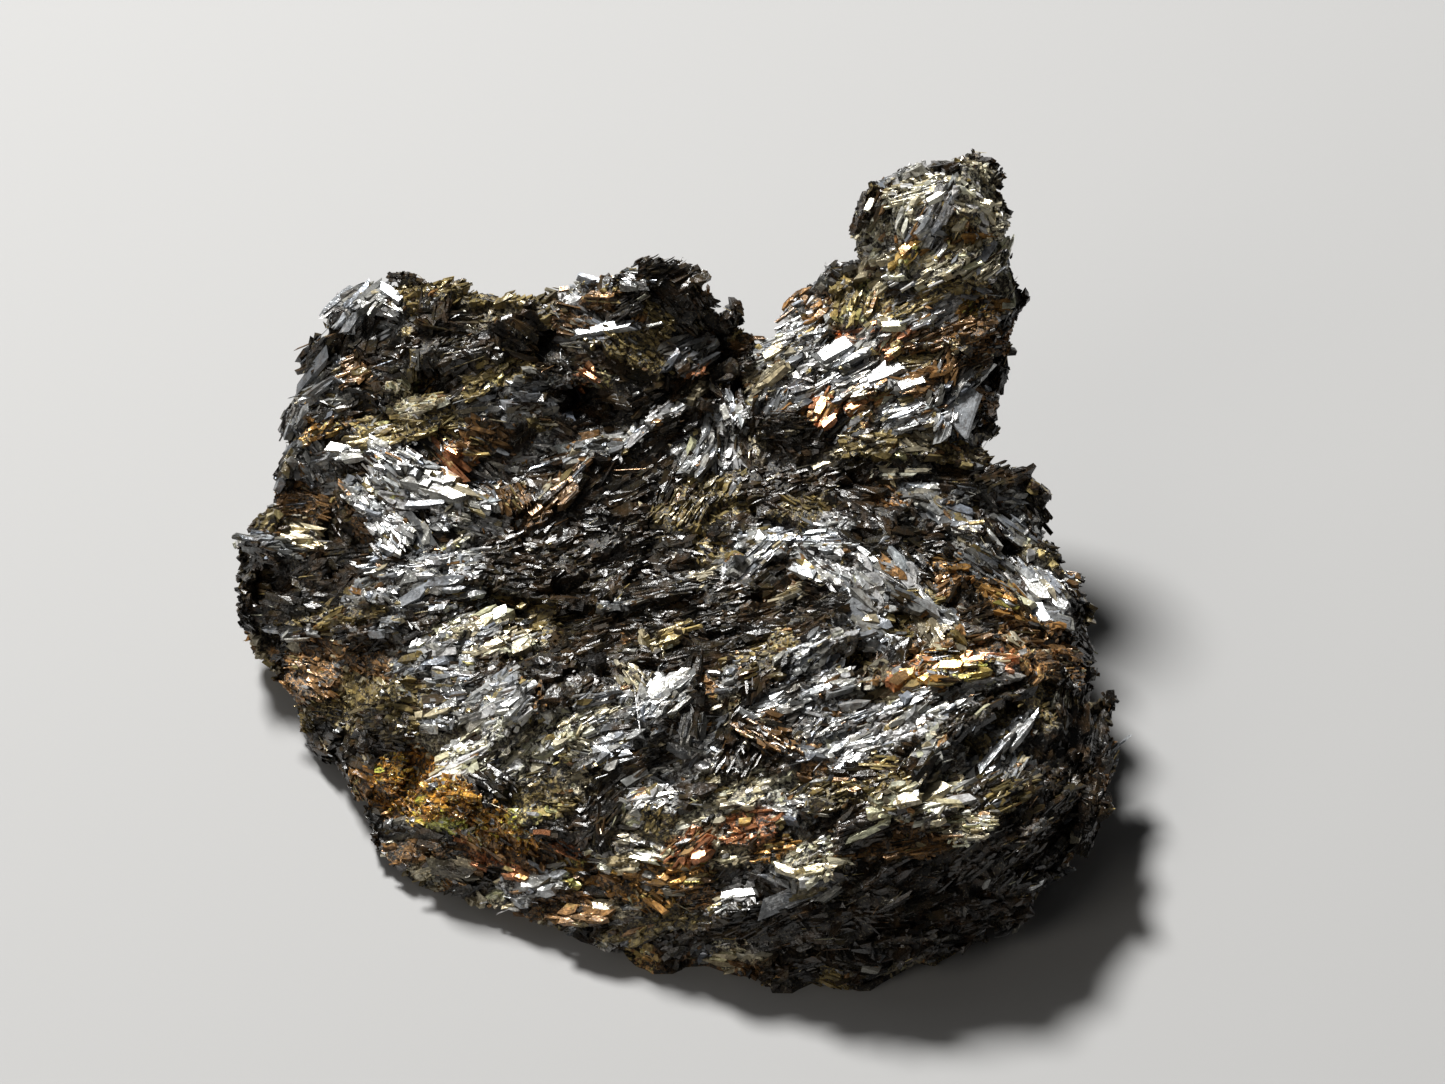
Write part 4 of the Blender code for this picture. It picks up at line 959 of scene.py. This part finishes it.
def bar_faces(stations):
    """Quads of one bar: its sides from station to station, and a quad that closes each end."""
    quads = []
    for station in range(stations - 1):
        here = station * BAR_SIDES
        for side in range(BAR_SIDES):
            after = (side + 1) % BAR_SIDES
            quads.append((here + side, here + after, here + after + BAR_SIDES, here + side + BAR_SIDES))
    last = (stations - 1) * BAR_SIDES
    quads += [(3, 2, 1, 0), (last, last + 1, last + 2, last + 3)]
    return np.array(quads)


def bar_points(middle, along, upright, size, stations, skew, broken):
    """Points of many bars at once: the section, scaled by the width share, carried along each bar's axis.

    The point is middle + along * (run * length + skew * side) + across * side + upright * rise, where side and
    rise are the section's shares of width and thickness. The skew gives the slanted ends of a cleaved crystal.
    Each point then moves by its own share, -0.5 to 0.5, of the three sizes, times how broken the bars are.
    """
    across = np.cross(upright, along)
    frame_axes = np.stack([along, across, upright], axis=1)
    shares = np.empty((len(middle), len(stations), BAR_SIDES, 3))
    shares[..., 0] = stations[:, 0, None]
    shares[..., 1] = BAR_SECTION[:, 0] * stations[:, 1, None]
    shares[..., 2] = BAR_SECTION[:, 1]
    shares = (shares + broken) * size[:, None, None, :]
    shares[..., 0] += shares[..., 1] * skew[:, None, None]
    return middle[:, None, None, :] + shares @ frame_axes[:, None, :, :]


def bar_crystal_uv(stations, length, width, offset):
    """For each corner, metres along and round its bar, moved by an offset so that no two bars look alike."""
    count = len(stations)
    run = np.repeat(stations[:, 0], BAR_SIDES)
    side = np.tile(BAR_SECTION[:, 0] + (BAR_SECTION[:, 1] < 0) * 2, count)
    corners = bar_faces(count).ravel()
    along = run[corners][None, :] * length[:, None] + offset[:, :1]
    round_ = side[corners][None, :] * width[:, None] + offset[:, 1:]
    return np.stack([along, round_], axis=-1)


def bar_bake_uv(stations, bars):
    """For each corner, a place in the bar's own cell of a square sheet of cells, one cell for each bar."""
    columns = math.ceil(math.sqrt(bars))
    spans = stations - 1
    cell = []
    for station in range(spans):
        low, high = station / (spans + 1), (station + 1) / (spans + 1)
        for side in range(BAR_SIDES):
            left, right = side / BAR_SIDES, (side + 1) / BAR_SIDES
            cell += [(left, low), (right, low), (right, high), (left, high)]
    for end in range(2):
        left, right, low = end / 2, (end + 1) / 2, spans / (spans + 1)
        cell += [(left, low), (right, low), (right, 1.0), (left, 1.0)]
    cell = np.array(cell).reshape(-1, 4, 2)
    centre = cell.mean(1, keepdims=True)
    cell = (centre + (cell - centre) * (1 - BAKE_GAP)).reshape(-1, 2)
    corner = np.column_stack([np.arange(bars) % columns, np.arange(bars) // columns])
    return (corner[:, None, :] + cell[None, :, :]) / columns


def held_off_floor(points):
    """Nothing reaches below the flat break that the stone lies on."""
    points[..., 2] = np.maximum(points[..., 2], 0.0)
    return points


def lay_bars(ground, spots, stations, size, jitter, loose=0.0, broken=0.1, proud=0.0):
    """Bars laid side by side in the rows of their sheaves: their points, sheaf, length and width.

    Each starts at its spot, moves across its sheaf to the middle of its row, and out of the skin to the
    sheaf's flat, and further by how proud the bars are. A row's height differs from its neighbour's by a step.
    Loose bars keep out of the rows. The size is the usual length, width and thickness.
    """
    random = ground.random
    places, _, broad = spots
    count = len(places)
    sheaf = ground.sheaf_of(places + random.normal(0, RAGGED_BORDER, places.shape))
    across = ground.across[sheaf]
    pitch = size[1] * ground.size[sheaf]
    offset = dot(places - ground.heart[sheaf], across)[:, 0]
    row = np.round(offset / pitch)
    places = places + across * ((row * pitch - offset) * (1 - loose))[:, None]
    level = hashed(np.column_stack([sheaf, row.astype(np.int64), np.zeros(count, np.int64)]), ROW_SEED)
    level = level * ground.settings.row_step * (1 - loose)
    turn, roll, pitched = (random.normal(0, spread, count) for spread in jitter)
    along, upright = ground.along[sheaf], ground.upright[sheaf]
    along = turned(along, across, turn)
    across = np.cross(upright, along)
    upright = turned(upright, across, roll)
    along, upright = turned(along, upright, pitched), turned(upright, -along, pitched)
    lengths = size[0] * ground.size[sheaf] * np.exp(np.clip(random.normal(0, LENGTH_SPREAD, count), *LENGTH_RANGE))
    lengths *= 1 - LEAN_LOSS * np.clip(np.abs(dot(along, broad))[:, 0] - LEAN_KEPT, 0, 1)
    widths = pitch * random.uniform(*WIDTH_RANGE, count)
    rolled = np.abs(dot(np.cross(upright, along), broad))[:, 0]
    widths *= 1 - ROLL_LOSS * np.clip(rolled - ROLL_KEPT, 0, 1)
    thicknesses = size[2] * np.exp(random.normal(0, THICKNESS_SPREAD, count))
    out = ground.rise(places, broad, sheaf) + level + random.normal(0, UNEVEN, count) + proud
    middle = places + broad * (out - thicknesses * BEDDED)[:, None]
    skew = random.uniform(-1.0, 1.0, count)
    crumbled = random.uniform(-broken, broken, (count, len(stations), BAR_SIDES, 3))
    sizes = np.column_stack([lengths, widths, thicknesses])
    points = bar_points(middle, along, upright, sizes, stations, skew, crumbled)
    return held_off_floor(points), sheaf, lengths, widths


def fibrous_spots(ground, count):
    """Spots that lie in the fibrous sheaves alone."""
    spots = ground.scatter(count * OVERDRAWN)
    kept = np.flatnonzero(ground.fibrous[ground.sheaf_of(spots[0])])[:count]
    return [part[kept] for part in spots]


def patch_spots(ground, share, area):
    """Spots inside the patches, each patch having its area in pixels, times its share, divided by a bar's area."""
    table = ground.table
    counts = np.round(share * 4 * table[:, LONG] * table[:, WIDE] / area).astype(int)
    patch = np.repeat(np.arange(len(table)), counts)
    along, across = ground.random.uniform(-PATCH_REACH, PATCH_REACH, (2, len(patch)))
    return ground.spots_at(ground.pixels_in(patch, along, across)), patch


def make_bars(name, ground, bars, stations, finish, context, spread=TONE_SPREAD):
    """One piece, or several under the triangle limit, from a set of bars."""
    points, sheaf, lengths, widths = bars
    tones, shine = ground.tones(finish, sheaf, context.scene.nuummite_finishes, spread)
    template = bar_faces(len(stations))
    per_bar = len(stations) * BAR_SIDES
    order = np.argsort(points[:, 0, 0, 0], kind="stable")
    parts = math.ceil(len(order) * len(template) * 2 / PIECE_LIMIT)
    for number, part in enumerate(np.array_split(order, parts), start=1):
        label = name + (f"_{number}" if parts > 1 else "")
        faces = (template[None] + (np.arange(len(part)) * per_bar)[:, None, None]).reshape(-1, 4)
        piece = new_piece(label, points[part].reshape(-1, 3), faces, crystal_material_once(context),
                          np.repeat(tones[part], per_bar, axis=0), np.repeat(shine[part], per_bar))
        offset = ground.random.uniform(0, PATTERN_SHIFT, (len(part), 2))
        add_uv(piece, "OFBake", bar_bake_uv(len(stations), len(part)))
        add_uv(piece, "Crystal", bar_crystal_uv(stations, lengths[part], widths[part], offset))


def lay_common(context, name, spots, stations, size):
    """Lays one kind of crystal at its spots, with the finishes of the sheaves that it lies in."""
    ground = stone_ground(context)
    bars = lay_bars(ground, spots, stations, size, **HABITS[name])
    make_bars(name, ground, bars, stations, ground.own_finish(bars[1]), context)


class NUUMMITE_OT_skin(bpy.types.Operator):
    """Lays the broken skin over the solid and hides the plain solid"""

    bl_idname = "nuummite.skin"
    bl_label = "Broken Skin"

    # Each point moves out along its normal to its sheaf's flat, and further by a coarse noise raised to a power
    # and a fine noise, each times its depth. Points on the flat break stay where they are.
    def execute(self, context):
        skin, colours = context.scene.nuummite_skin, context.scene.nuummite_finishes
        ground = stone_ground(context)
        points, triangles = ground.points, ground.triangles
        for _ in range(skin.refinements):
            points, triangles = refined(points, triangles)
        normals = smoothed_normals(points, triangles, SKIN_ROUNDS)
        ragged = np.column_stack([lattice_noise(points, BORDER_SIZE, seed) for seed in BORDER_SEEDS]) * BORDER_DEPTH
        sheaf = ground.sheaf_of(points + ragged)
        chips = np.abs(lattice_noise(points, skin.chip_size, CHIP_SEED)) ** CHIP_POWER * 2 - 1
        breaks = lattice_noise(points, skin.splinter_size, BREAK_SEED)
        out = ground.rise(points, normals, sheaf) + chips * skin.chip_depth + breaks * skin.splinter_depth
        out = np.where(points[:, 2] < RESTING, 0.0, out - SKIN_UNDER)
        tones, shine = ground.tones(ground.finish[sheaf], sheaf, colours, TONE_SPREAD)
        points = held_off_floor(points + normals * out[:, None])
        piece = new_piece("broken_skin", points, triangles, skin_material(colours), tones, shine)
        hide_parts(STONE)
        return {"FINISHED"}


class NUUMMITE_OT_blocks(bpy.types.Operator):
    """Lays the short broken crystals that step from face to face"""

    bl_idname = "nuummite.blocks"
    bl_label = "Block Crystals"

    def execute(self, context):
        sizes, ground = context.scene.nuummite_blades, stone_ground(context)
        size = sizes.block_length, sizes.block_width, sizes.block_thickness
        lay_common(context, "block_crystals", ground.scatter(sizes.blocks), BLOCK_STATIONS, size)
        return {"FINISHED"}


class NUUMMITE_OT_slabs(bpy.types.Operator):
    """Lays the cleavage slabs where the photograph shows sheaves that flash"""

    bl_idname = "nuummite.slabs"
    bl_label = "Cleavage Slabs"

    def execute(self, context):
        sizes, ground = context.scene.nuummite_blades, stone_ground(context)
        flashing = (ground.table[:, GLINT] >= GLINT_OF_SLABS) & np.isin(ground.table[:, KIND], SLAB_FINISHES)
        spots, patch = patch_spots(ground, flashing * sizes.slab_share, SLAB_AREA)
        size = sizes.slab_length, sizes.slab_width, sizes.slab_thickness
        bars = lay_bars(ground, spots, SLAB_STATIONS, size, **HABITS["cleavage_slabs"])
        finish = ground.table[patch, KIND].astype(int)
        make_bars("cleavage_slabs", ground, bars, SLAB_STATIONS, finish, context, SLAB_SPREAD)
        return {"FINISHED"}


class NUUMMITE_OT_laths(bpy.types.Operator):
    """Lays the long parallel crystals in the rows of the fibrous sheaves"""

    bl_idname = "nuummite.laths"
    bl_label = "Lath Crystals"

    def execute(self, context):
        sizes, ground = context.scene.nuummite_blades, stone_ground(context)
        size = sizes.lath_length, sizes.lath_width, sizes.lath_thickness
        lay_common(context, "lath_crystals", fibrous_spots(ground, sizes.laths), LATH_STATIONS, size)
        return {"FINISHED"}


class NUUMMITE_OT_flakes(bpy.types.Operator):
    """Lays the small broken bits that give the rock its grain"""

    bl_idname = "nuummite.flakes"
    bl_label = "Flakes"

    def execute(self, context):
        sizes, ground = context.scene.nuummite_blades, stone_ground(context)
        size = sizes.flake_length, sizes.flake_width, sizes.flake_width
        lay_common(context, "flakes", ground.scatter(sizes.flakes), LATH_STATIONS, size)
        return {"FINISHED"}


class NUUMMITE_OT_splinters(bpy.types.Operator):
    """Lays the pointed blades that break up the sheaves"""

    bl_idname = "nuummite.splinters"
    bl_label = "Splinter Crystals"

    def execute(self, context):
        sizes, ground = context.scene.nuummite_blades, stone_ground(context)
        size = sizes.lath_length, sizes.lath_width * SPLINTER_WIDTH, sizes.lath_thickness
        lay_common(context, "splinters", ground.scatter(sizes.splinters), SPLINTER_STATIONS, size)
        return {"FINISHED"}


class NUUMMITE_OT_needles(bpy.types.Operator):
    """Lays hair-fine needles that catch the light between the blades"""

    bl_idname = "nuummite.needles"
    bl_label = "Needles"

    def execute(self, context):
        sizes, ground = context.scene.nuummite_blades, stone_ground(context)
        size = sizes.lath_length, NEEDLE_WIDTH, NEEDLE_WIDTH
        bars = lay_bars(ground, ground.scatter(sizes.needles), LATH_STATIONS, size, **HABITS["needles"])
        finish = ground.own_finish(bars[1])
        light = NEEDLE_FINISHES[ground.random.integers(0, len(NEEDLE_FINISHES), len(finish))]
        make_bars("needles", ground, bars, LATH_STATIONS, np.where(finish == DARK, light, finish), context)
        return {"FINISHED"}


class NUUMMITE_OT_grains(bpy.types.Operator):
    """Lays the rusty grains that fill the low ledge at the front left"""

    bl_idname = "nuummite.grains"
    bl_label = "Rusty Grains"

    def execute(self, context):
        sizes, ground = context.scene.nuummite_blades, stone_ground(context)
        rusty = (ground.table[:, KIND] == RUST) * 1.0
        covered = (4 * ground.table[:, LONG] * ground.table[:, WIDE] * rusty).sum() / GRAIN_AREA
        spots, patch = patch_spots(ground, rusty * sizes.grains / covered, GRAIN_AREA)
        bars = lay_bars(ground, spots, LATH_STATIONS, (sizes.grain_size,) * 3, **HABITS["rusty_grains"])
        drawn = ground.random.choice(list(GRAIN_SHARES), len(patch), p=list(GRAIN_SHARES.values()))
        make_bars("rusty_grains", ground, bars, LATH_STATIONS, drawn, context)
        return {"FINISHED"}


class NUUMMITE_OT_plates(bpy.types.Operator):
    """Lays the single large cleavage plates that stand out in the photograph"""

    bl_idname = "nuummite.plates"
    bl_label = "Cleavage Plates"

    def execute(self, context):
        sizes, ground = context.scene.nuummite_blades, stone_ground(context)
        table = np.array(PLATES, float)
        count = len(table)
        places, facet, broad = ground.spots_at(table[:, :LONG])
        normals = unit(facet * PLATE_FACET + broad)
        along = laid_in_skin(np.radians(table[:, TURN]), normals, ground.stage)
        tilt = ground.random.normal(0, PLATE_MISS, (count, 3))
        along, upright = ground.lit(along, normals, table[:, GLINT] * PLATE_PULL, tilt, PLATE_STIFF)
        sheaf = ground.sheaf_of(places)
        size = np.column_stack([table[:, LONG] * MM, table[:, WIDE] * MM, np.full(count, sizes.slab_thickness)])
        out = ground.rise(places, broad, sheaf) + sizes.plate_proud
        crumbled = ground.random.uniform(-PLATE_BROKEN, PLATE_BROKEN, (count, len(SLAB_STATIONS), BAR_SIDES, 3))
        skew = ground.random.uniform(-PLATE_SKEW, PLATE_SKEW, count)
        middle = places + broad * out[:, None]
        points = held_off_floor(bar_points(middle, along, upright, size, SLAB_STATIONS, skew, crumbled))
        # The plates' sheaves take the plates' glint, which sets their painted shade, and an even brightness.
        ground.glint[sheaf] = table[:, GLINT]
        ground.bright[sheaf] = 1.0
        bars = points, sheaf, size[:, 0], size[:, 1]
        make_bars("cleavage_plates", ground, bars, SLAB_STATIONS, table[:, KIND].astype(int), context, PLATE_SPREAD)
        return {"FINISHED"}


class NUUMMITE_OT_stage(bpy.types.Operator):
    """Sets the plain floor, the soft lights and the camera at the photograph's angle"""

    bl_idname = "nuummite.stage"
    bl_label = "Stage"

    def execute(self, context):
        stage = context.scene.nuummite_stage
        self.add_floor(context, stage)
        for name in LIGHTS:
            self.add_light(context, name, getattr(stage, name + "_power"))
        self.add_camera(context, stage)
        world = bpy.data.worlds.new("even_light")
        world.use_nodes = True
        sky = world.node_tree.nodes["Background"]
        sky.inputs["Color"].default_value = SKY_COLOUR
        sky.inputs["Strength"].default_value = stage.sky
        context.scene.world = world
        context.scene.view_settings.view_transform = "Standard"
        return {"FINISHED"}

    def add_floor(self, context, stage):
        half = FLOOR_HALF_WIDTH
        mesh = bpy.data.meshes.new("floor")
        mesh.from_pydata([(-half, -half, 0.0), (half, -half, 0.0), (half, half, 0.0), (-half, half, 0.0)], [],
                         [(0, 1, 2, 3)])
        finish = Finish("plain_floor")
        finish.surface.inputs["Base Color"].default_value = (*stage.floor, 1.0)
        finish.surface.inputs["Roughness"].default_value = FLOOR_ROUGHNESS
        mesh.materials.append(finish.material)
        floor = bpy.data.objects.new("floor", mesh)
        context.scene.collection.objects.link(floor)

    def add_light(self, context, name, power):
        data = bpy.data.lights.new(name + "_light", "AREA")
        light = bpy.data.objects.new(name + "_light", data)
        place, data.size, data.color = LIGHTS[name]
        data.shape = "DISK"
        data.energy = power
        light.location = place
        light.rotation_euler = (-Vector(place)).to_track_quat("-Z", "Y").to_euler()
        context.scene.collection.objects.link(light)

    def add_camera(self, context, stage):
        data = bpy.data.cameras.new("camera")
        data.lens = stage.lens
        data.sensor_width = SENSOR_WIDTH
        camera = bpy.data.objects.new("camera", data)
        toward = Vector(view_axes(stage.elevation)[2])
        camera.location = CAMERA_TARGET + toward * stage.distance
        camera.rotation_euler = (math.radians(90) - stage.elevation, 0.0, 0.0)
        context.scene.collection.objects.link(camera)
        context.scene.camera = camera


class NUUMMITE_PT_panel(bpy.types.Panel):
    """Lists what dresses the stone"""

    bl_idname = "NUUMMITE_PT_panel"
    bl_label = "Rough Nuummite"
    bl_space_type = "VIEW_3D"
    bl_region_type = "UI"
    bl_category = "Nuummite"

    def draw(self, context):
        column = self.layout.column()
        for operator in OPERATORS:
            column.operator(operator.bl_idname)
        for name in SETTINGS:
            group = getattr(context.scene, name)
            box = self.layout.box()
            for key in group.__annotations__:
                box.prop(group, key)


SETTINGS = {
    "nuummite_skin": SkinSettings,
    "nuummite_blades": BladeSettings,
    "nuummite_finishes": FinishSettings,
    "nuummite_stage": StageSettings,
}
OPERATORS = [NUUMMITE_OT_skin, NUUMMITE_OT_blocks, NUUMMITE_OT_slabs, NUUMMITE_OT_laths, NUUMMITE_OT_flakes,
             NUUMMITE_OT_splinters, NUUMMITE_OT_needles, NUUMMITE_OT_grains, NUUMMITE_OT_plates, NUUMMITE_OT_stage]


def register():
    for group in SETTINGS.values():
        bpy.utils.register_class(group)
    for name, group in SETTINGS.items():
        setattr(bpy.types.Scene, name, PointerProperty(type=group))
    for operator in OPERATORS:
        bpy.utils.register_class(operator)
    bpy.utils.register_class(NUUMMITE_PT_panel)


def unregister():
    bpy.utils.unregister_class(NUUMMITE_PT_panel)
    for operator in reversed(OPERATORS):
        bpy.utils.unregister_class(operator)
    for name in SETTINGS:
        delattr(bpy.types.Scene, name)
    for group in reversed(list(SETTINGS.values())):
        bpy.utils.unregister_class(group)


def main():
    """Registers the add-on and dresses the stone."""
    register()
    bpy.ops.nuummite.skin()
    bpy.ops.nuummite.blocks()
    bpy.ops.nuummite.slabs()
    bpy.ops.nuummite.laths()
    bpy.ops.nuummite.flakes()
    bpy.ops.nuummite.splinters()
    bpy.ops.nuummite.needles()
    bpy.ops.nuummite.grains()
    bpy.ops.nuummite.plates()
    bpy.ops.nuummite.stage()


if __name__ == "__main__":
    main()
